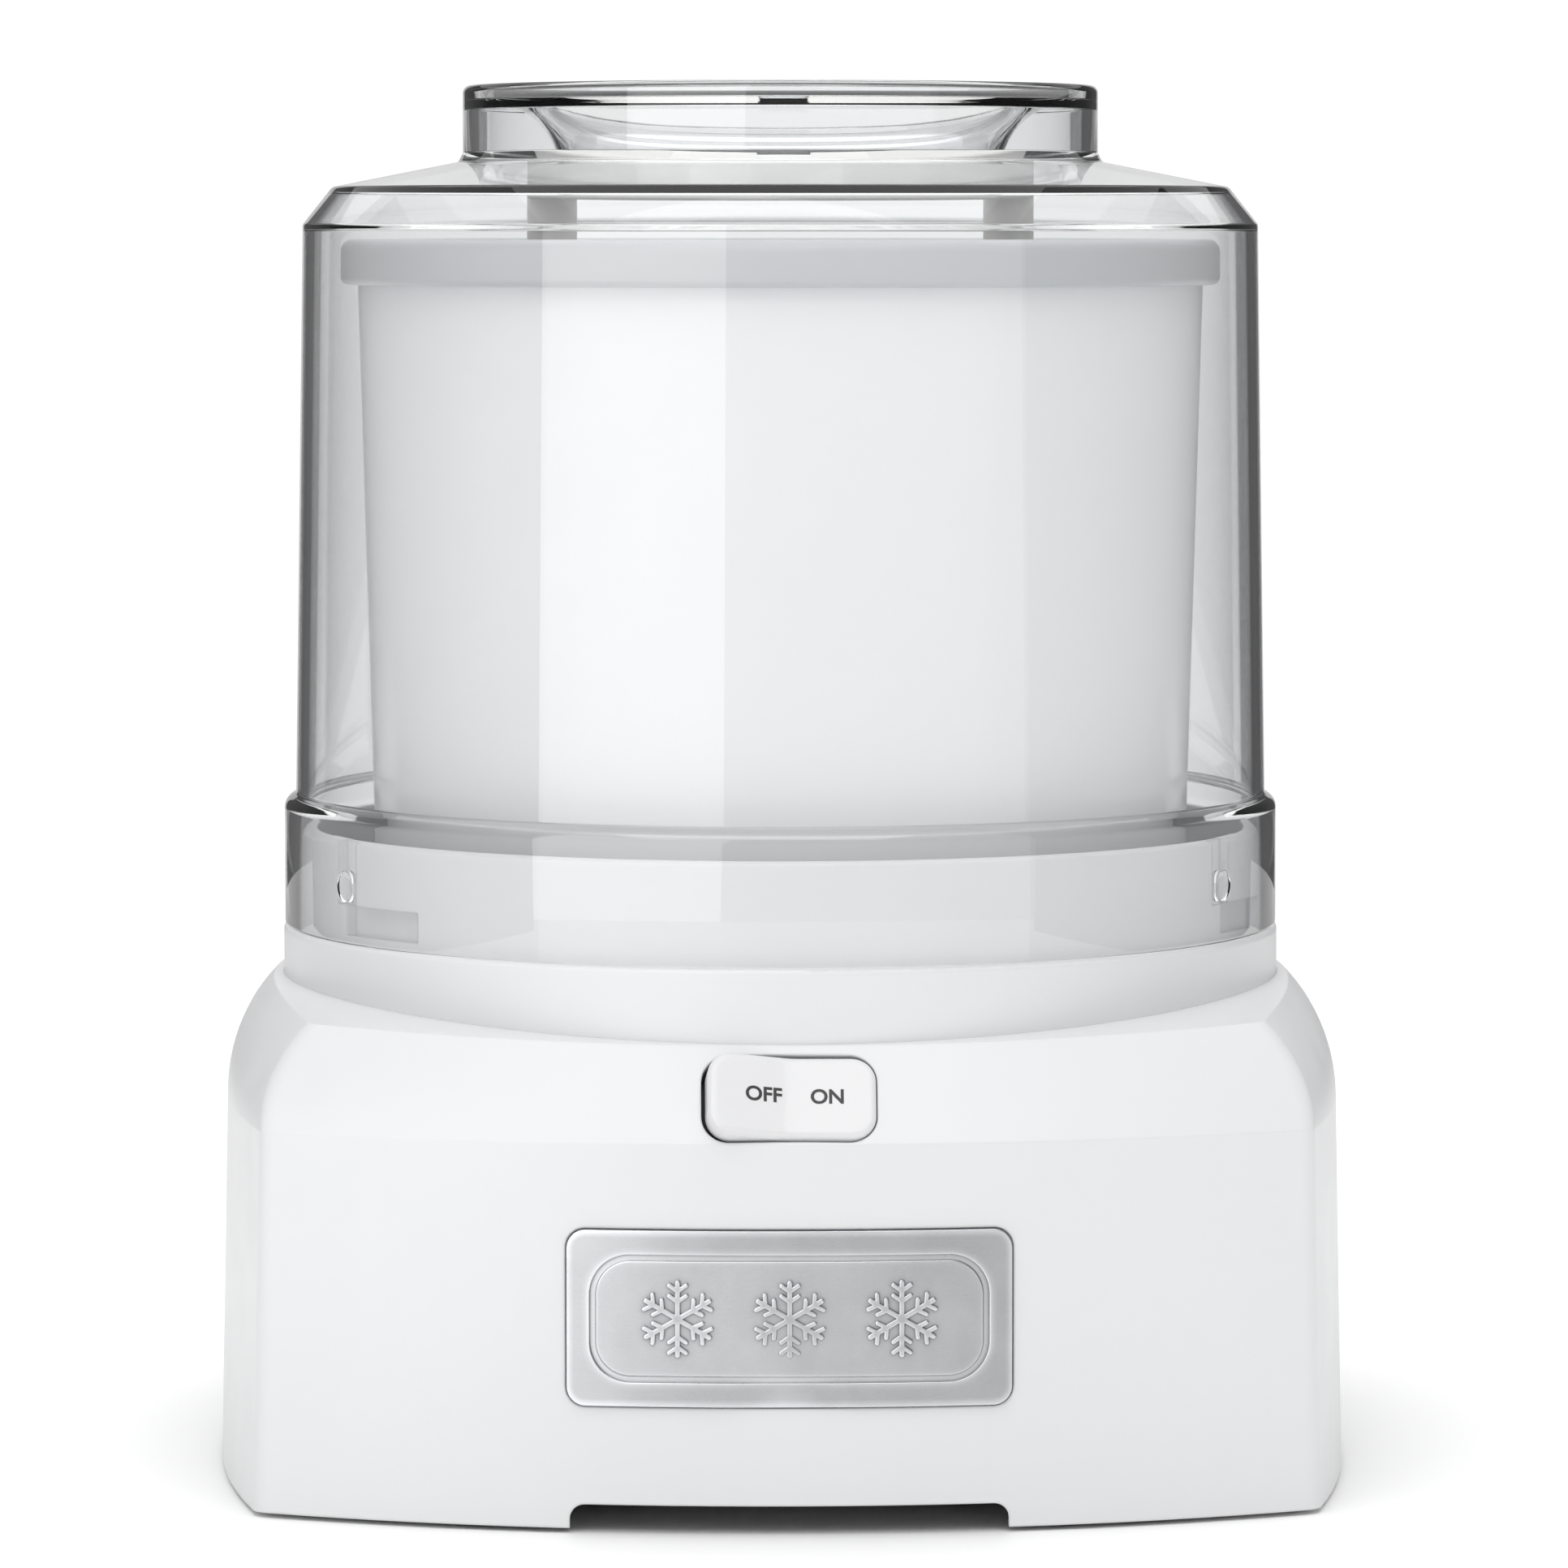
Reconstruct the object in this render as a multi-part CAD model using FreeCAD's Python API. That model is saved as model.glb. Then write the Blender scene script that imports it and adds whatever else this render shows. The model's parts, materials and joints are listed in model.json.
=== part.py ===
import FreeCAD, Part
import math
import os

from FreeCAD import Matrix, Placement, Vector

# Ice cream maker. Millimetres, +Z up, front towards -Y.
# Origin: centre of the base on the surface that it stands on, on the bowl's axis.

# ---------------------------------------------------------------- sizes: base
BASE_WIDTH = 235.0
BASE_DEPTH = 235.0
SIDE_BULGE = 11.5         # how far the middle of a side stands out past its corners
FRONT_BULGE = 22.5        # the same for the front and the back
CORNER_RADIUS = 5.0
HOUSING_WALL = 2.6
HOUSING_BOTTOM_Z = 1.0
WALL_DRAFT = 1.5          # how far each side leans in between the bottom and the break line
BREAK_Z = 77.0            # where the sloped band and the side shoulders start
BAND_SLOPE = 0.568        # inward run for each millimetre of rise of the front band
SHOULDER_RADIUS = 33.0
MITRE_FACTOR = 1.3        # the corner runs in this much faster than the side shoulder
DECK_EDGE_Z = 94.2
DECK_CROWN_Z = 100.3
NOTCH_HALF_WIDTH = 43.2
NOTCH_HEIGHT = 5.8
NOTCH_RADIUS = 3.0
NECK_PROUD = 0.25         # past the lid's collar, which stands on it
NECK_TOP_Z = 110.2
NECK_CLEARANCE = 0.6      # inside the lid's collar
NECK_WALL = 3.0
INNER_NECK_TOP_Z = 131.2
WELL_FLOOR_Z = 86.0
WELL_FLOOR_THICKNESS = 3.0
POST_SIDE_INSET = 31.5
POST_FRONT_INSET = 40.5
POST_RADIUS = 5.0
VENT_COUNT = 9
VENT_WIDTH = 3.0
VENT_LENGTH = 34.0
VENT_PITCH = 7.0
VENT_CENTRE_Z = 45.0

# ---------------------------------------------------------------- sizes: bottom cover, feet, gland
COVER_THICKNESS = 2.5
COVER_Z = 3.5
COVER_CLEARANCE = 0.4
FOOT_RADIUS = 9.0
FOOT_HEIGHT = 6.0
FOOT_SIDE_INSET = 47.5
FOOT_FRONT_INSET = 33.5
SCREW_RADIUS = 1.5
SCREW_HEAD_RADIUS = 2.9
SCREW_HEAD_HEIGHT = 1.8
SCREW_CLEARANCE = 0.2
GLAND_X = -60.0
GLAND_Z = 17.0
GLAND_RADIUS = 6.5
GLAND_FLANGE_RADIUS = 8.5
GLAND_FLANGE_THICKNESS = 1.2
CORD_HOLE_RADIUS = 3.4
GLAND_WALL_SPAN = 5.0      # between the flange and the lip inside, across the curved wall
GLAND_LIP = 2.0
GLAND_CROWN = 1.6
GLAND_REAR_GAP = 0.5      # keeps the flange inside the base's overall depth

# ---------------------------------------------------------------- sizes: badge and switch
BADGE_WIDTH = 87.5
BADGE_BOTTOM_Z = 25.4
BADGE_TOP_Z = 60.1
BADGE_CORNER = 3.7
BADGE_THICKNESS = 1.8
BADGE_PROUD = 0.8
BADGE_GAP = 0.3
PANEL_WIDTH = 78.6
PANEL_HEIGHT = 25.2
PANEL_CORNER = 8.0
PANEL_DEPTH = 0.275
GROOVE_DEPTH = 0.55       # round the edge of the panel
GROOVE_WIDTH = 1.3
CUTTER_REACH = 20.0       # of a cutting shape, each side of the wall that it cuts
MOTIF_RADIUS = 7.6
MOTIF_PITCH = 22.0
MOTIF_BAR = 0.95
MOTIF_RELIEF = 0.4
ROCKER_WIDTH = 33.4
ROCKER_LENGTH = 17.4
ROCKER_CORNER = 5.0
ROCKER_GAP = 0.6
ROCKER_TILT = 7.0         # degrees each side of level
ROCKER_PROUD = 2.6        # at the two outer ends, when level
ROCKER_CREASE = 2.0       # how much lower the middle of the V-shaped top is
ROCKER_SKIRT = 3.0        # how far the sides reach below the band
ROCKER_POCKET_DEPTH = 2.0
ROCKER_END_ROUND = 1.6
ROCKER_CREASE_ROUND = 4.0
PIVOT_DEPTH = 3.2
PIVOT_PIN_RADIUS = 1.2
PIVOT_BOSS_RADIUS = 2.5
PIVOT_HALF_WEB = 2.2
PIVOT_HALF_PIN = 5.2
PIVOT_EAR_RISE = 1.6      # of each ear, above the pin's axis
PIVOT_WEB_GAP = 0.4
PIN_RUNNING_FIT = 0.05
SWITCH_PLATE_DEPTH = 6.0
SWITCH_PLATE_THICKNESS = 2.5
SWITCH_PLATE_HALF_WIDTH = 24.0
SWITCH_PLATE_HALF_LENGTH = 6.0
SWITCH_BODY_DEPTH = 18.0
SWITCH_BODY_HALF_WIDTH = 14.0
SWITCH_BODY_LOW = -9.0
SWITCH_BODY_HIGH = 2.0
TERMINAL_X = 9.0
TERMINAL_Y = -3.5
TERMINAL_WIDTH = 4.8
TERMINAL_THICKNESS = 0.8
TERMINAL_LENGTH = 8.0

# ---------------------------------------------------------------- sizes: lid
LID_TOP_Z = 285.5
LID_WALL = 2.4
SPOUT_RADIUS = 66.4
SPOUT_WALL = 3.2
SPOUT_SPLIT = 2.0         # outside the spout, where its node ends and the lid's begins
SPOUT_HEIGHT = 14.9
SLOPE_DROP = 6.2          # from the spout's foot to the slope's outer corner
CHAMFER_DROP = 7.8        # from there to the foot of the chamfer
COLLAR_RADIUS = 104.2
SLOPE_INSET = 10.5        # these three are inward from the collar's radius
CHAMFER_INSET = 4.3
LID_FOOT_INSET = 2.4
COLLAR_TOP_Z = 138.0
COLLAR_WALL = 3.2
COLLAR_FILLET = 3.4
LID_SEAM = 0.25
FUNNEL_MOUTH_DROP = 3.5   # below the lid's top
FUNNEL_RADIUS = 44.5
FUNNEL_FOOT_DROP = 2.6    # below the spout's foot
FUNNEL_WALL = 1.6
KEY_WIDTH = 10.0
KEY_LENGTH = 8.0
NUB_ANGLES = (-150.7, -29.3, 90.0)
NUB_Z = 122.0
NUB_RADIUS = 3.2
NUB_REACH = 2.0           # how far a nub stands in from the collar's inner face
NUB_SLOT_GAP = 0.5
NUB_LOCK_ANGLE = 12.0

# ---------------------------------------------------------------- sizes: freezer bowl
BOWL_WELL_GAP = 5.4       # between the bowl's rim and the well that it lifts out of
BOWL_LID_GAP = 3.1        # below the foot of the lid's chamfer
BOWL_RIM_HEIGHT = 9.5
BOWL_RIM_LIP = 2.0
RIM_OVERHANG = 3.4
BOWL_TAPER = 4.2
BOWL_FLOOR_GAP = 6.3      # above the well's floor
BOWL_SHELL_WALL = 2.2
COOLANT_DEPTH = 8.1       # from the shell's outside to the liner, at the rim
LINER_TAPER = 3.0
LINER_FLOOR_RISE = 13.7   # above the shell's underside
LINER_WALL = 1.2
LINER_CORNER = 10.0
DRIVE_PLATE_RADIUS = 52.0
DRIVE_PLATE_THICKNESS = 4.5

# ---------------------------------------------------------------- sizes: mixing paddle
PADDLE_RING_RADIUS = 53.0
PADDLE_RING_WIDTH = 10.4
PADDLE_RING_HEIGHT = 6.5
PADDLE_RING_GAP = 1.6     # below the funnel's foot
PADDLE_WALL_GAP = 1.2     # to the liner's wall
PADDLE_FLOOR_GAP = 0.6    # to the liner's floor
PADDLE_THICKNESS = 4.0
PADDLE_ARM_WIDTH = 15.0
PADDLE_BAR_HEIGHT = 13.0
KEY_CLEARANCE = 0.4

# ---------------------------------------------------------------- sizes: gear train
PRESSURE_ANGLE = math.radians(25.0)
BACKLASH = 0.16
TIP_CLEARANCE = 0.25      # in modules
OUTPUT_MODULE = 1.5
OUTPUT_TEETH = 64
SECOND_PINION_TEETH = 16
SECOND_MODULE = 1.25
SECOND_TEETH = 56
FIRST_PINION_TEETH = 14
FIRST_MODULE = 1.0
FIRST_TEETH = 60
MOTOR_PINION_TEETH = 12
SECOND_DIRECTION = math.radians(150.0)
FIRST_DIRECTION = math.radians(60.0)
MOTOR_DIRECTION = math.radians(-10.0)
CASE_FLOOR_Z = 46.5
CASE_FLOOR_THICKNESS = 2.5
STAGE_GAP = 2.0
FIRST_FACE = 6.0
SECOND_FACE = 7.0
OUTPUT_FACE = 8.0
CASE_WALL = 2.0
CASE_GEAR_GAP = 2.5
CASE_HEAD_ROOM = 2.0
CASE_PLATE_THICKNESS = 2.5
GEAR_AXLE_RADIUS = 2.5
GEAR_HUB_RADIUS = 6.5
AXLE_RUNNING_FIT = 0.05
OUTPUT_SHAFT_RADIUS = 5.0
SHAFT_FLAT = 1.2
BUSH_WALL = 2.5
COUPLER_RADIUS = 34.0
COUPLER_THICKNESS = 4.0
COUPLER_FLOOR_GAP = 1.6
LUG_COUNT = 3
LUG_CIRCLE_RADIUS = 24.0
LUG_RADIUS = 4.5
LUG_HEIGHT = 4.0
LUG_CLEARANCE = 0.4
CLIP_RADIUS = 8.0
CLIP_THICKNESS = 1.0
EAR_RADIUS = 5.5
EAR_HEIGHT = 5.0

# ---------------------------------------------------------------- sizes: motor
STATOR_STACK = 18.0
STATOR_HALF_DEPTH = 27.0
STATOR_NEAR_X = -24.0     # from the motor's axis
STATOR_FAR_X = 52.0
WINDOW_NEAR_X = 22.0
WINDOW_FAR_X = 38.0
WINDOW_HALF_DEPTH = 15.5
ROTOR_RADIUS = 15.0
AIR_GAP = 0.4
ROTOR_OVERHANG = 1.0
MOTOR_SHAFT_RADIUS = 3.0
SHAFT_BELOW_FAN = 0.6
BRACKET_THICKNESS = 2.5
BRACKET_STANDOFF = 3.0
BRACKET_WIDTH = 16.0
MOTOR_BUSH_RADIUS = 6.0
MOTOR_SCREW_X = 19.0
MOTOR_SCREW_Y = 22.0
FAN_RADIUS = 22.0
FAN_HUB_RADIUS = 7.0
FAN_GAP = 0.8             # below the lower bracket
FAN_HEIGHT = 7.6
FAN_BLADES = 7
BOBBIN_WALL = 1.2
BOBBIN_HALF_LENGTH = 14.5
WINDING_THICKNESS = 6.5
SHADING_ROD = 2.0
LEAD_RADIUS = 1.2
BODY_GAP = 0.1            # between parts of one body that only sit next to each other

# ---------------------------------------------------------------- derived sizes
HALF_WIDTH = BASE_WIDTH / 2
HALF_DEPTH = BASE_DEPTH / 2
BAND_ANGLE = math.atan(BAND_SLOPE)
CORNER_HALF_WIDTH = HALF_WIDTH - SIDE_BULGE
CORNER_HALF_DEPTH = HALF_DEPTH - FRONT_BULGE
POST_X = HALF_WIDTH - POST_SIDE_INSET
POST_Y = HALF_DEPTH - POST_FRONT_INSET
FOOT_X = HALF_WIDTH - FOOT_SIDE_INSET
FOOT_Y = HALF_DEPTH - FOOT_FRONT_INSET
SPOUT_FOOT_Z = LID_TOP_Z - SPOUT_HEIGHT
SLOPE_RADIUS = COLLAR_RADIUS - SLOPE_INSET
SLOPE_Z = SPOUT_FOOT_Z - SLOPE_DROP
CHAMFER_RADIUS = COLLAR_RADIUS - CHAMFER_INSET
CHAMFER_Z = SLOPE_Z - CHAMFER_DROP
LID_FOOT_RADIUS = COLLAR_RADIUS - LID_FOOT_INSET
COLLAR_INNER_RADIUS = COLLAR_RADIUS - COLLAR_WALL
FUNNEL_MOUTH_Z = LID_TOP_Z - FUNNEL_MOUTH_DROP
FUNNEL_FOOT_Z = SPOUT_FOOT_Z - FUNNEL_FOOT_DROP
NECK_RADIUS = COLLAR_RADIUS + NECK_PROUD
INNER_NECK_RADIUS = COLLAR_INNER_RADIUS - NECK_CLEARANCE
WELL_RADIUS = INNER_NECK_RADIUS - NECK_WALL
BOWL_RIM_RADIUS = WELL_RADIUS - BOWL_WELL_GAP
BOWL_RIM_TOP_Z = CHAMFER_Z - BOWL_LID_GAP
BOWL_TOP_RADIUS = BOWL_RIM_RADIUS - RIM_OVERHANG
BOWL_BOTTOM_RADIUS = BOWL_TOP_RADIUS - BOWL_TAPER
BOWL_BOTTOM_Z = WELL_FLOOR_Z + BOWL_FLOOR_GAP
LINER_TOP_RADIUS = BOWL_TOP_RADIUS - COOLANT_DEPTH
LINER_BOTTOM_RADIUS = LINER_TOP_RADIUS - LINER_TAPER
LINER_FLOOR_Z = BOWL_BOTTOM_Z + LINER_FLOOR_RISE
OUTPUT_PITCH = OUTPUT_MODULE * OUTPUT_TEETH / 2
SECOND_PITCH = SECOND_MODULE * SECOND_TEETH / 2
FIRST_PITCH = FIRST_MODULE * FIRST_TEETH / 2
OUTPUT_DISTANCE = OUTPUT_MODULE * (OUTPUT_TEETH + SECOND_PINION_TEETH) / 2
SECOND_DISTANCE = SECOND_MODULE * (SECOND_TEETH + FIRST_PINION_TEETH) / 2
FIRST_DISTANCE = FIRST_MODULE * (FIRST_TEETH + MOTOR_PINION_TEETH) / 2


def polar(radius, angle, z=0.0):
    return Vector(radius * math.cos(angle), radius * math.sin(angle), z)


OUTPUT_AXIS = Vector(0, 0, 0)
SECOND_AXIS = OUTPUT_AXIS + polar(OUTPUT_DISTANCE, SECOND_DIRECTION)
FIRST_AXIS = SECOND_AXIS + polar(SECOND_DISTANCE, FIRST_DIRECTION)
MOTOR_AXIS = FIRST_AXIS + polar(FIRST_DISTANCE, MOTOR_DIRECTION)
CASE_INSIDE_Z = CASE_FLOOR_Z + CASE_FLOOR_THICKNESS
FIRST_Z = CASE_INSIDE_Z + STAGE_GAP
SECOND_Z = FIRST_Z + FIRST_FACE + STAGE_GAP
OUTPUT_Z = SECOND_Z + SECOND_FACE + STAGE_GAP
CASE_TOP_Z = OUTPUT_Z + OUTPUT_FACE + CASE_HEAD_ROOM
PLATE_TOP_Z = CASE_TOP_Z + CASE_PLATE_THICKNESS
WELL_UNDERSIDE_Z = WELL_FLOOR_Z - WELL_FLOOR_THICKNESS
COUPLER_Z = WELL_FLOOR_Z + COUPLER_FLOOR_GAP
COUPLER_TOP_Z = COUPLER_Z + COUPLER_THICKNESS
COVER_TOP_Z = COVER_Z + COVER_THICKNESS
STATOR_TOP_Z = CASE_FLOOR_Z - BRACKET_THICKNESS - BRACKET_STANDOFF
STATOR_BOTTOM_Z = STATOR_TOP_Z - STATOR_STACK
LOWER_BRACKET_Z = STATOR_BOTTOM_Z - BRACKET_STANDOFF - BRACKET_THICKNESS
FAN_BOTTOM_Z = LOWER_BRACKET_Z - FAN_GAP - FAN_HEIGHT
PADDLE_TOP_Z = FUNNEL_FOOT_Z - PADDLE_RING_GAP
CASE_EARS = (
    polar(58.0, math.radians(-45)),
    polar(58.0, math.radians(-135)),
    SECOND_AXIS + polar(43.0, math.radians(200)),
    FIRST_AXIS + polar(40.0, math.radians(22)),
)


# ---------------------------------------------------------------- small building tools
def cylinder(radius, low, high, centre=Vector(0, 0, 0)):
    return Part.makeCylinder(radius, high - low, Vector(centre.x, centre.y, low))


def ring(outer, inner, low, high, centre=Vector(0, 0, 0)):
    return cylinder(outer, low, high, centre).cut(cylinder(inner, low - 1, high + 1, centre))


def block(x_low, x_high, y_low, y_high, z_low, z_high):
    corner = Vector(x_low, y_low, z_low)
    return Part.makeBox(x_high - x_low, y_high - y_low, z_high - z_low, corner)


def joined(shapes):
    first = shapes[0]
    result = first.multiFuse(shapes[1:]) if len(shapes) > 1 else first
    return result.removeSplitter()


def rounded_path(corners, closed=True):
    """A wire of straight runs and tangent arcs. Each corner is (point, radius)."""
    count = len(corners)
    starts, ends, edges = [], [], []
    for index, (point, radius) in enumerate(corners):
        is_end = not closed and index in (0, count - 1)
        if radius == 0 or is_end:
            starts.append(point)
            ends.append(point)
            edges.append(None)
            continue
        before = (corners[index - 1][0] - point).normalize()
        after = (corners[(index + 1) % count][0] - point).normalize()
        half = before.getAngle(after) / 2
        reach = radius / math.tan(half)
        middle = (before + after).normalize()
        starts.append(point + before * reach)
        ends.append(point + after * reach)
        nearest = point + middle * (radius / math.sin(half) - radius)
        edges.append(Part.Arc(starts[-1], nearest, ends[-1]).toShape())
    wire = []
    for index in range(count):
        if edges[index]:
            wire.append(edges[index])
        following = (index + 1) % count
        if closed or index < count - 1:
            if ends[index].distanceToPoint(starts[following]) > 1e-6:
                wire.append(Part.LineSegment(ends[index], starts[following]).toShape())
    return Part.Wire(wire)


def turned(outline, centre=Vector(0, 0, 0)):
    """A solid turned about Z. The outline is a list of (radius, z, corner radius)."""
    corners = [(Vector(r, 0, z), fillet) for r, z, fillet in outline]
    face = Part.Face(rounded_path(corners))
    solid = face.revolve(Vector(0, 0, 0), Vector(0, 0, 1), 360)
    solid.translate(centre)
    return solid


def rounded_slab(width, height, corner, thickness):
    """A slab with rounded corners, centred on the origin, from z = 0 upwards."""
    x, y = width / 2, height / 2
    points = (Vector(-x, -y, 0), Vector(x, -y, 0), Vector(x, y, 0), Vector(-x, y, 0))
    outline = rounded_path([(point, corner) for point in points])
    return Part.Face(outline).extrude(Vector(0, 0, thickness))


def around(shape, count, start=0.0):
    """Copies of a shape, evenly spaced about Z."""
    copies = []
    for index in range(count):
        copy = shape.copy()
        copy.rotate(Vector(0, 0, 0), Vector(0, 0, 1), start + index * 360.0 / count)
        copies.append(copy)
    return copies


def upright(shape, x, y, z):
    """Stand a slab drawn in the XY plane upright, with its thickness running towards +Y."""
    copy = shape.copy()
    copy.rotate(Vector(0, 0, 0), Vector(1, 0, 0), 90)
    copy.translate(Vector(x, y, z))
    return copy


def screw(point, head_z, tip_z):
    """A pan-head screw whose shank runs from under its head to its tip."""
    direction = 1 if tip_z > head_z else -1
    head_end = head_z - direction * SCREW_HEAD_HEIGHT
    head = cylinder(SCREW_HEAD_RADIUS, min(head_z, head_end), max(head_z, head_end), point)
    shank = cylinder(SCREW_RADIUS, min(head_z, tip_z), max(head_z, tip_z), point)
    return head.fuse(shank).removeSplitter()


# ---------------------------------------------------------------- base housing
def arc_radius(half_chord, rise):
    return (half_chord ** 2 + rise ** 2) / (2 * rise)


def base_section(z, side_in, front_in, corner_in):
    """The base's outline at one height: four bulged sides with small rounded corners."""
    half_width = HALF_WIDTH - side_in
    half_depth = HALF_DEPTH - front_in
    corner_x = CORNER_HALF_WIDTH - corner_in
    corner_y = CORNER_HALF_DEPTH - front_in
    front_radius = arc_radius(corner_x, half_depth - corner_y)
    side_radius = arc_radius(corner_y, half_width - corner_x)
    front_tilt = math.asin(corner_x / front_radius)
    side_tilt = math.asin(corner_y / side_radius)
    half_turn = (math.pi / 2 - front_tilt - side_tilt) / 2
    reach = CORNER_RADIUS * math.tan(half_turn)
    pull = CORNER_RADIUS / math.cos(half_turn) - CORNER_RADIUS
    front_x = corner_x - reach * math.cos(front_tilt)
    front_y = half_depth - front_radius + math.sqrt(front_radius ** 2 - front_x ** 2)
    side_y = corner_y - reach * math.cos(side_tilt)
    side_x = half_width - side_radius + math.sqrt(side_radius ** 2 - side_y ** 2)
    diagonal = front_tilt + half_turn
    nose_x = corner_x - pull * math.sin(diagonal)
    nose_y = corner_y - pull * math.cos(diagonal)
    edges = []
    for x, y in ((1, -1), (-1, -1), (-1, 1), (1, 1)):
        side = Vector(x * side_x, y * side_y, z)
        nose = Vector(x * nose_x, y * nose_y, z)
        front = Vector(x * front_x, y * front_y, z)
        edges.append((side, nose, front) if x * y < 0 else (front, nose, side))
    arcs = []
    middles = ((0, -half_depth), (-half_width, 0), (0, half_depth), (half_width, 0))
    for index, (start, nose, end) in enumerate(edges):
        arcs.append(Part.Arc(start, nose, end).toShape())
        x, y = middles[index]
        following = edges[(index + 1) % 4][0]
        arcs.append(Part.Arc(end, Vector(x, y, z), following).toShape())
    return Part.Wire(arcs)


def base_form(inset, bottom_z):
    """The base's outer form, drawn in by inset. It has no neck."""
    foot = base_section(bottom_z, inset, inset, inset)
    waist = base_section(BREAK_Z, inset + WALL_DRAFT, inset + WALL_DRAFT, inset + WALL_DRAFT)
    walls = Part.makeLoft([foot, waist], True, True)
    steps = 5
    sections = []
    for step in range(steps + 1):
        rise = 25.0 * step / steps
        shoulder = SHOULDER_RADIUS - math.sqrt(SHOULDER_RADIUS ** 2 - rise ** 2)
        front = inset + WALL_DRAFT + BAND_SLOPE * rise
        side = inset + WALL_DRAFT + shoulder
        corner = inset + WALL_DRAFT + MITRE_FACTOR * shoulder
        sections.append(base_section(BREAK_Z + rise, side, front, corner))
    shoulders = Part.makeLoft(sections, True, False)
    reach = HALF_DEPTH
    deck = Part.Wire([
        Part.Arc(Vector(0, -reach, DECK_EDGE_Z - inset),
                 Vector(0, 0, DECK_CROWN_Z - inset),
                 Vector(0, reach, DECK_EDGE_Z - inset)).toShape(),
        Part.makePolygon([Vector(0, reach, DECK_EDGE_Z - inset), Vector(0, reach, bottom_z),
                          Vector(0, -reach, bottom_z), Vector(0, -reach, DECK_EDGE_Z - inset)]),
    ])
    under_deck = Part.Face(deck).extrude(Vector(BASE_WIDTH, 0, 0))
    under_deck.translate(Vector(-HALF_WIDTH, 0, 0))
    return walls.fuse(shoulders).common(under_deck)


def switch_placement():
    """The switch's own frame: X to the right, Y up the sloped band, Z straight out of it."""
    middle_z = (BREAK_Z + DECK_EDGE_Z) / 2
    face_y = -(HALF_DEPTH - WALL_DRAFT - BAND_SLOPE * (middle_z - BREAK_Z))
    sine, cosine = math.sin(BAND_ANGLE), math.cos(BAND_ANGLE)
    return Placement(Matrix(1, 0, 0, 0,
                            0, sine, -cosine, face_y,
                            0, cosine, sine, middle_z,
                            0, 0, 0, 1))


def post_points():
    return [Vector(x * POST_X, y * POST_Y, 0) for x in (-1, 1) for y in (-1, 1)]


def badge_prism(gap, depth_in, depth_out):
    """The badge's rounded outline, run from inside the front wall to outside it."""
    width = BADGE_WIDTH + 2 * gap
    height = BADGE_TOP_Z - BADGE_BOTTOM_Z + 2 * gap
    slab = rounded_slab(width, height, BADGE_CORNER + gap, depth_in + depth_out)
    middle_z = (BADGE_TOP_Z + BADGE_BOTTOM_Z) / 2
    return upright(slab, 0, -HALF_DEPTH + depth_in, middle_z)


def nub_slot(angle):
    """An upside-down L cut in the neck: an open way down, then a short way round."""
    turn = NUB_RADIUS + NUB_SLOT_GAP
    inner = COLLAR_INNER_RADIUS - NUB_REACH - NUB_SLOT_GAP
    way_down = block(inner, NECK_RADIUS, -turn, turn, NUB_Z - turn, INNER_NECK_TOP_Z + 1)
    profile = Part.makePlane(NECK_RADIUS - inner, 2 * turn, Vector(inner, 0, NUB_Z - turn),
                             Vector(0, -1, 0))
    way_round = profile.revolve(Vector(0, 0, 0), Vector(0, 0, 1), NUB_LOCK_ANGLE + 2)
    slot = way_down.fuse(way_round)
    slot.rotate(Vector(0, 0, 0), Vector(0, 0, 1), angle)
    return slot


def rear_vents():
    """Upright slots through the rear wall beside the motor."""
    slots = []
    for index in range(VENT_COUNT):
        x = MOTOR_AXIS.x + (index - (VENT_COUNT - 1) / 2) * VENT_PITCH
        slab = rounded_slab(VENT_WIDTH, VENT_LENGTH, VENT_WIDTH / 2 - 0.01, 4 * HOUSING_WALL * 3)
        slots.append(upright(slab, x, HALF_DEPTH + HOUSING_WALL, VENT_CENTRE_Z))
    return slots


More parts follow.
